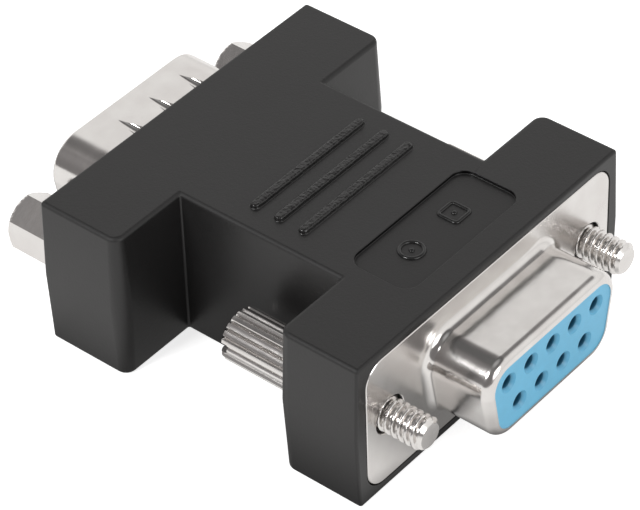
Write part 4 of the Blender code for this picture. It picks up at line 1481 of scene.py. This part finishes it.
@dataclass
class PlugInsulator(Insulator):
    """Black insulator round the pins, just proud of the flange inside the shroud."""

    block_back: float = 6.65 * MM
    rise: float = 0.4 * MM
    edge: float = 0.08 * MM
    mouth: float = 0.1 * MM
    mouth_rise: float = 1.0 * MM
    web_back: float = 1.2 * MM
    cavity: float = 1.7 * MM
    cavity_back: float = 7.6 * MM
    hole_steps: int = 32

    def build(self) -> None:
        """Make the insulator."""
        behind = self.bench.layout.wall + self.bench.layout.gap
        nose = self.shell.outline(-behind)
        sections = [
            (nose, behind), (nose, self.edge - self.rise),
            (self.shell.outline(-behind - self.edge), -self.rise),
        ]
        hole, cavity = self.hole / 2, self.cavity / 2
        profile = [
            (0.0, -self.mouth_rise), (hole + 2 * self.mouth, -self.mouth_rise),
            (hole + self.mouth, -self.rise), (hole, self.mouth - self.rise),
            (hole, self.web_back), (cavity, self.web_back), (cavity, self.cavity_back),
            (0.0, self.cavity_back),
        ]
        self.make("black_insulator", sections, profile, self.bench.finishes.black, Slot.BLACK)


@dataclass
class Contacts:
    """Gold-flashed turned contacts of both connectors."""

    bench: Workbench
    pin_diameter: float = 1.0 * MM
    pin_reach: float = 5.4 * MM
    pin_back: float = 1.3 * MM
    nose_slimness: float = 1.3
    nose_steps: int = 8
    barrel: float = 1.5 * MM
    sleeve: float = 1.6 * MM
    sleeve_bore: float = 1.08 * MM
    sleeve_front: float = -3.95 * MM
    sleeve_back: float = 6.75 * MM
    bore_depth: float = 5.4 * MM
    mouth: float = 0.08 * MM
    cup: float = 1.1 * MM
    cup_depth: float = 1.6 * MM
    socket_back: float = 9.05 * MM
    plug_back: float = 9.45 * MM
    round_steps: int = 24

    def tail(self, front: float, back: float) -> list[Point]:
        """(radius, depth) points of the barrel and its solder cup."""
        barrel, cup = self.barrel / 2, self.cup / 2
        bottom = back - self.cup_depth
        return [(barrel, front), (barrel, back), (cup, back), (cup, bottom), (0.0, bottom)]

    def set_of(self, end: End, name: str, profile: Sequence[Point], node: str) -> None:
        """One piece with a turned contact at each place."""
        layout = self.bench.layout
        contact = Shapes.turned(name, layout.along_y(end, profile), self.round_steps)
        mesh = self.bench.on_contacts(contact, self.bench.finishes.contact)
        count = layout.upper_contacts + layout.lower_contacts
        nodes = [f"{node}_{i + 1}" for i in range(count)]
        self.bench.piece(name, Shapes.softened(mesh), self.bench.finishes.contact, Slot.CONTACT,
                         nodes)

    def build(self) -> None:
        """Make the pins and the sleeves."""
        pin = self.pin_diameter / 2
        long = self.nose_slimness * pin
        pins = [
            (pin * math.sin(turn), long * (1 - math.cos(turn)) - self.pin_reach)
            for turn in Shapes.quarter(self.nose_steps)
        ]
        pins += [(pin, self.pin_back), *self.tail(self.pin_back, self.plug_back)]
        self.set_of(End.PLUG, "plug_pins", pins, "plug_pin")
        bore, sleeve, front = self.sleeve_bore / 2, self.sleeve / 2, self.sleeve_front
        mouth, bottom = self.mouth, front + self.bore_depth
        sleeves = [
            (0.0, bottom), (bore, bottom), (bore, front + mouth), (bore + mouth, front),
            (sleeve - mouth, front), (sleeve, front + mouth), (sleeve, self.sleeve_back),
            *self.tail(self.sleeve_back, self.socket_back),
        ]
        self.set_of(End.SOCKET, "socket_sleeves", sleeves, "socket_contact")


@dataclass
class Thumbscrew:
    """Captive thumbscrew: knurled slotted knob, thin neck and a thread thicker than the neck."""

    bench: Workbench
    side: Side
    reach: float = 3.8 * MM
    inside: float = 1.5 * MM
    thread_depth: float = 0.36 * MM
    chamfer: float = 0.35 * MM
    thread_columns: int = 72
    thread_rows: int = 120
    neck: float = 2.1 * MM
    neck_steps: int = 32
    neck_sunk: float = 2.0 * MM
    knob_depth: float = 8.0 * MM
    knob_length: float = 7.0 * MM
    knob_diameter: float = 4.55 * MM
    knob_round: float = 0.3 * MM
    knob_rows: int = 32
    teeth: int = 20
    columns_per_tooth: int = 8
    knurl_depth: float = 0.25 * MM
    slot_width: float = 0.8 * MM
    slot_depth: float = 0.8 * MM
    slot_turn: float = math.radians(5.0)

    def build(self) -> None:
        """Make the thread, neck and knob, all on the screw's own body."""
        layout, finish = self.bench.layout, self.bench.finishes.turned
        word = self.side.name.lower()
        body = f"thumbscrew_{word}_body"
        tip = layout.depth_y(End.SOCKET, -self.reach)
        root = layout.depth_y(End.SOCKET, self.inside)
        thread = self.bench.thread.mesh(f"thumbscrew_{word}_thread", {
            "Radius": layout.screw_diameter / 2, "Length": root - tip, "Pitch": layout.thread_pitch,
            "Depth": self.thread_depth, "Chamfer": self.chamfer,
            "Columns": self.thread_columns, "Rows": self.thread_rows,
            "Place": layout.screw_place(self.side, (root + tip) / 2), "Material": finish})
        front = layout.depth_y(End.SOCKET, self.knob_depth)
        knob = self.bench.knurl.mesh(f"thumbscrew_{word}_knob", {
            "Radius": self.knob_diameter / 2, "Length": self.knob_length,
            "Teeth": float(self.teeth), "Depth": self.knurl_depth, "Rounding": self.knob_round,
            "Slot width": self.slot_width, "Slot depth": self.slot_depth,
            "Slot turn": self.slot_turn, "Columns": self.teeth * self.columns_per_tooth,
            "Rows": self.knob_rows, "Material": finish,
            "Place": layout.screw_place(self.side, front + self.knob_length / 2)})
        radius, back, start = self.neck / 2, front + self.neck_sunk, root - self.chamfer
        profile = [(0.0, back), (radius, back), (radius, start), (0.0, start)]
        neck = layout.on_screw(self.side, "neck", profile, self.neck_steps)
        for name, mesh, nodes in (
            ("knob", knob, [f"thumbscrew_{word}"]), ("thread", thread, []), ("neck", neck, []),
        ):
            self.bench.piece(f"thumbscrew_{word}_{name}",
                             Shapes.softened(mesh, layout.thread_sharp_degrees), finish,
                             Slot.TURNED, nodes, body)


@dataclass
class JackNut:
    """Hexagonal jack nut with a coned end, a tapped bore and a stud behind."""

    bench: Workbench
    side: Side
    across_flats: float = 4.5 * MM
    length: float = 5.5 * MM
    cone: float = 0.35 * MM
    bar_columns: int = 120
    bar_rows: int = 54
    sharp_degrees: float = 25.0
    bore: float = 2.84 * MM
    bore_depth: float = 4.3 * MM
    bore_chamfer: float = 0.01 * MM
    bore_rows: int = 160
    mouth: float = 0.15 * MM
    mouth_depth: float = 0.5 * MM
    thread_depth: float = 0.3 * MM
    thread_columns: int = 48
    stud_overlap: float = 0.3 * MM
    stud_depth: float = 5.2 * MM
    stud_rows: int = 110

    def threaded(self, name: str, values: dict[str, object]) -> bpy.types.Mesh:
        """Thread of the sizes that the bore and the stud share."""
        return self.bench.thread.mesh(name, {
            "Pitch": self.bench.layout.thread_pitch, "Depth": self.thread_depth,
            "Columns": self.thread_columns, "Material": self.bench.finishes.turned, **values})

    def build(self) -> None:
        """Make the nut and its stud."""
        layout, finish = self.bench.layout, self.bench.finishes.turned
        word = self.side.name.lower()
        seat = layout.depth_y(End.PLUG, -layout.gap)
        end = seat + self.length
        bar = self.bench.hexagon.mesh(f"jack_nut_{word}", {
            "Radius": self.across_flats / 2, "Length": self.length, "Cone": self.cone,
            "Columns": self.bar_columns, "Rows": self.bar_rows,
            "Place": layout.screw_place(self.side, (seat + end) / 2), "Material": finish})
        tap = self.threaded("tapped_bore", {
            "Radius": self.bore / 2, "Length": self.bore_depth * 2, "Chamfer": self.bore_chamfer,
            "Rows": self.bore_rows, "Place": layout.screw_place(self.side, end)})
        wide, bottom = self.bore / 2 + self.mouth, end - self.mouth_depth
        out = end + layout.cutter_reach
        profile = [(0.0, out), (wide, out), (wide, end), (wide - self.mouth_depth, bottom),
                   (0.0, bottom)]
        cone = layout.on_screw(self.side, "bore_mouth", profile, layout.bore_steps)
        nut = Shapes.carved(bar, [("DIFFERENCE", tap), ("DIFFERENCE", cone)])
        back, front = seat + self.stud_overlap, layout.depth_y(End.PLUG, self.stud_depth)
        stud = self.threaded(f"jack_stud_{word}", {
            "Radius": layout.screw_diameter / 2, "Length": back - front, "Chamfer": self.cone,
            "Rows": self.stud_rows, "Place": layout.screw_place(self.side, (back + front) / 2)})
        self.bench.piece(f"jack_nut_{word}_bar", Shapes.softened(nut, self.sharp_degrees), finish,
                         Slot.TURNED, [f"jack_nut_{word}"])
        self.bench.piece(f"jack_stud_{word}", Shapes.softened(stud, layout.thread_sharp_degrees),
                         finish, Slot.TURNED)


@dataclass
class HiddenPieces:
    """CAD nodes that keep their own shape inside the adapter."""

    finishes: Finishes
    nodes: dict[str, bpy.types.Object]

    def build(self) -> None:
        """Dress each node that stays."""
        by_word = {
            "shell": self.finishes.shell, "anchor": self.finishes.shell,
            "wire": self.finishes.wire, "mould": self.finishes.inner,
        }
        for name, node in self.nodes.items():
            if node.hide_render:
                continue
            finish = next(made for word, made in by_word.items() if word in name)
            node.data.materials.clear()
            node.data.materials.append(finish)
            log.info("%s keeps its CAD shape", name)


@dataclass(frozen=True)
class Softbox:
    """Square soft lamp aimed at the object."""

    name: str
    place: Place
    size: float
    power: float

    def build(self) -> None:
        """Hang the lamp."""
        data = bpy.data.lights.new(self.name, "AREA")
        data.shape = "SQUARE"
        data.size = self.size
        data.energy = self.power
        lamp = placed(self.name, data)
        lamp.location = self.place
        lamp.rotation_mode = "QUATERNION"
        lamp.rotation_quaternion = (-Vector(self.place)).to_track_quat("-Z", "Y")


@dataclass(frozen=True)
class StudioCamera:
    """Camera at the photograph's viewing angle, from its eye point and its three axes."""

    eye: Place = (-154.547 * MM, -132.111 * MM, 182.208 * MM)
    right: Place = (0.63500, -0.77202, -0.02766)
    up: Place = (0.51940, 0.40016, 0.75505)
    back: Place = (-0.57184, -0.49382, 0.65508)
    lens: float = 190.51
    sensor: float = 36.0
    nearest: float = 0.01
    farthest: float = 20.0

    def build(self) -> None:
        """Place the camera."""
        data = bpy.data.cameras.new("camera")
        data.sensor_width = self.sensor
        data.lens = self.lens
        data.clip_start = self.nearest
        data.clip_end = self.farthest
        camera = placed("camera", data)
        turn = Matrix((self.right, self.up, self.back)).transposed().to_4x4()
        camera.matrix_world = Matrix.Translation(self.eye) @ turn
        bpy.context.scene.camera = camera


@dataclass(frozen=True)
class StudioFloor:
    """Pale floor: white to the camera with the object's shadow, and mirrored by the metal.

    In mirrors it carries a painted shadow: it is dark close to the adapter and rises to white a few
    millimetres away. A lift is the distance that counts as passed where the floor meets the
    adapter's outline.
    """

    half: float = 1.5
    drop: float = 0.01 * MM
    paint: Place = (0.8, 0.8, 0.8)
    seen_glow: float = 0.75
    mirrored: Place = (1.0, 0.99, 0.98)
    contact_shade: float = 0.16
    shade_reach: float = 10.0 * MM
    half_width: float = 16.5 * MM
    half_length: float = 15.8 * MM
    front_rise: float = 3.0
    body_lift: float = 2.5 * MM
    plug_lift: float = 1.8 * MM
    plug_from: float = 5.0 * MM
    plug_blend: float = 5.0 * MM
    shroud_lift: float = 1.5 * MM
    shroud_half_width: float = 6.0 * MM
    shroud_reach: float = 6.0 * MM

    def shade(self, build: NodeBuilder) -> Signal:
        """Painted shadow: how bright the floor is in the metal.

        Args:
            build: Tree of the floor's material.

        Returns:
            Brightness that rises with the distance from the body and from the socket's shroud.
        """
        across, along, _ = build.split("Object")
        across = abs(across)
        before = (-self.half_length - along) * self.front_rise
        beyond = (along - self.half_length).most(before)
        lift = ((along - self.plug_from) / self.plug_blend).clamped() * self.plug_lift
        body = self.distance(across - self.half_width, beyond) + (lift + self.body_lift)
        shroud = self.distance(across - self.shroud_half_width,
                               -self.half_length - self.shroud_reach - along) + self.shroud_lift
        rise = (body.least(shroud) / self.shade_reach).clamped().eased()
        return rise * (1.0 - self.contact_shade) + self.contact_shade

    @staticmethod
    def distance(beside: Signal, beyond: Signal) -> Signal:
        """Distance from an outline, from how far a point lies beside and beyond it."""
        beside, beyond = beside.most(0.0), beyond.most(0.0)
        return (beside * beside + beyond * beyond).math("SQRT")

    def material(self) -> bpy.types.Material:
        """Build the floor's material."""
        material = bpy.data.materials.new("pale_floor")
        material.use_nodes = True
        build = NodeBuilder(material.node_tree)
        paint = build.node("ShaderNodeBsdfDiffuse", values={"Color": (*self.paint, 1.0)})
        seen = build.node("ShaderNodeLightPath", output="Is Camera Ray")
        glow = build.node("ShaderNodeEmission", values={"Strength": seen * self.seen_glow})
        both = build.node("ShaderNodeAddShader", values={0: paint, 1: glow})
        # Painted shadow: the floor's glow in the metal is dimmed near the adapter.
        in_metal = build.node("ShaderNodeEmission", values={
            "Color": (*self.mirrored, 1.0), "Strength": self.shade(build)})
        by_mirror = seen.pick("Is Glossy Ray").most(seen.pick("Is Transmission Ray"))
        surface = build.node("ShaderNodeMixShader", values={0: by_mirror, 1: both, 2: in_metal})
        build.node("ShaderNodeOutputMaterial", values={"Surface": surface})
        return material

    def build(self) -> None:
        """Lay the floor."""
        half = self.half
        shape = bmesh.new()
        edge = [(-half, -half), (half, -half), (half, half), (-half, half)]
        shape.faces.new([shape.verts.new((x, y, -self.drop)) for x, y in edge])
        mesh = bpy.data.meshes.new("floor")
        shape.to_mesh(mesh)
        shape.free()
        mesh.materials.append(self.material())
        floor = placed("floor", mesh)
        floor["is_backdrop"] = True


@dataclass(frozen=True)
class StudioSky:
    """World: white to the camera, a soft room with a dimmer ceiling to everything else."""

    room: tuple[tuple[float, Place], ...] = (
        (0.0, (0.82, 0.81, 0.80)), (0.35, (0.95, 0.94, 0.93)), (0.6, (0.94, 0.93, 0.92)),
        (0.7, (0.85, 0.84, 0.83)), (0.78, (0.2, 0.19, 0.19)), (0.9, (0.1, 0.1, 0.1)),
        (1.0, (0.45, 0.45, 0.45)),
    )
    white: Place = (1.0, 1.0, 1.0)
    left_edge: float = -0.45
    left_blend: float = 0.35
    left_dark: Place = (0.2, 0.19, 0.19)

    def build(self) -> None:
        """Make the world."""
        world = bpy.data.worlds.new("studio")
        world.use_nodes = True
        bpy.context.scene.world = world
        build = NodeBuilder(world.node_tree)
        sideways, _, rise = build.split("Generated")
        room = build.node("ShaderNodeValToRGB", {"stops": self.room}, {0: rise.clamped()})
        left = ((sideways - self.left_edge) / self.left_blend).clamped().eased()
        path = build.node("ShaderNodeLightPath", output="Is Camera Ray")
        colour = build.mixed(path, build.mixed(left, self.left_dark, room), self.white)
        shader = build.node("ShaderNodeBackground", values={"Color": colour})
        build.node("ShaderNodeOutputWorld", values={"Surface": shader})


@dataclass(frozen=True)
class Studio:
    """Everything round the object, for a picture like the photograph."""

    camera: StudioCamera = StudioCamera()
    floor: StudioFloor = StudioFloor()
    sky: StudioSky = StudioSky()
    lamps: tuple[Softbox, ...] = (
        Softbox("left_softbox", place=(-0.45, 0.12, 0.42), size=0.16, power=2.2),
        Softbox("front_softbox", place=(-0.1, -0.55, 0.3), size=0.3, power=1.0),
    )

    def build(self) -> None:
        """Set up the whole studio."""
        bpy.context.scene.view_settings.view_transform = "Standard"
        for piece in (self.camera, self.floor, self.sky, *self.lamps):
            piece.build()


def corners(box: tuple[Vector, Vector]) -> list[list[float]]:
    """Two corners as plain lists of numbers."""
    return [list(corner) for corner in box]


def main() -> None:
    """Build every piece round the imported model."""
    logging.basicConfig(level=logging.INFO, format="%(message)s")
    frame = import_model()
    packed = corners(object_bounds())
    bench = Workbench(Layout(), Finishes.make())
    socket = Shell(bench, End.SOCKET, width=16.33 * MM, height=7.9 * MM, corner=2.5 * MM,
                   reach=5.93 * MM, roll=0.8 * MM)
    plug = DimpledShell(bench, End.PLUG, width=17.92 * MM, height=9.36 * MM, corner=2.9 * MM,
                        reach=6.0 * MM, roll=0.0)
    assemblies = [
        Moulding(bench), PanelMarks(bench), socket, plug, SocketInsulator(bench, socket),
        PlugInsulator(bench, plug), Contacts(bench),
    ]
    for side in Side:
        assemblies += [Thumbscrew(bench, side), JackNut(bench, side)]
    assemblies += [HiddenPieces(bench.finishes, frame["nodes"]), Studio()]
    for assembly in assemblies:
        assembly.build()
    {"cad_box": packed, "visual_box": corners(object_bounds())}


if __name__ == "__main__":
    main()
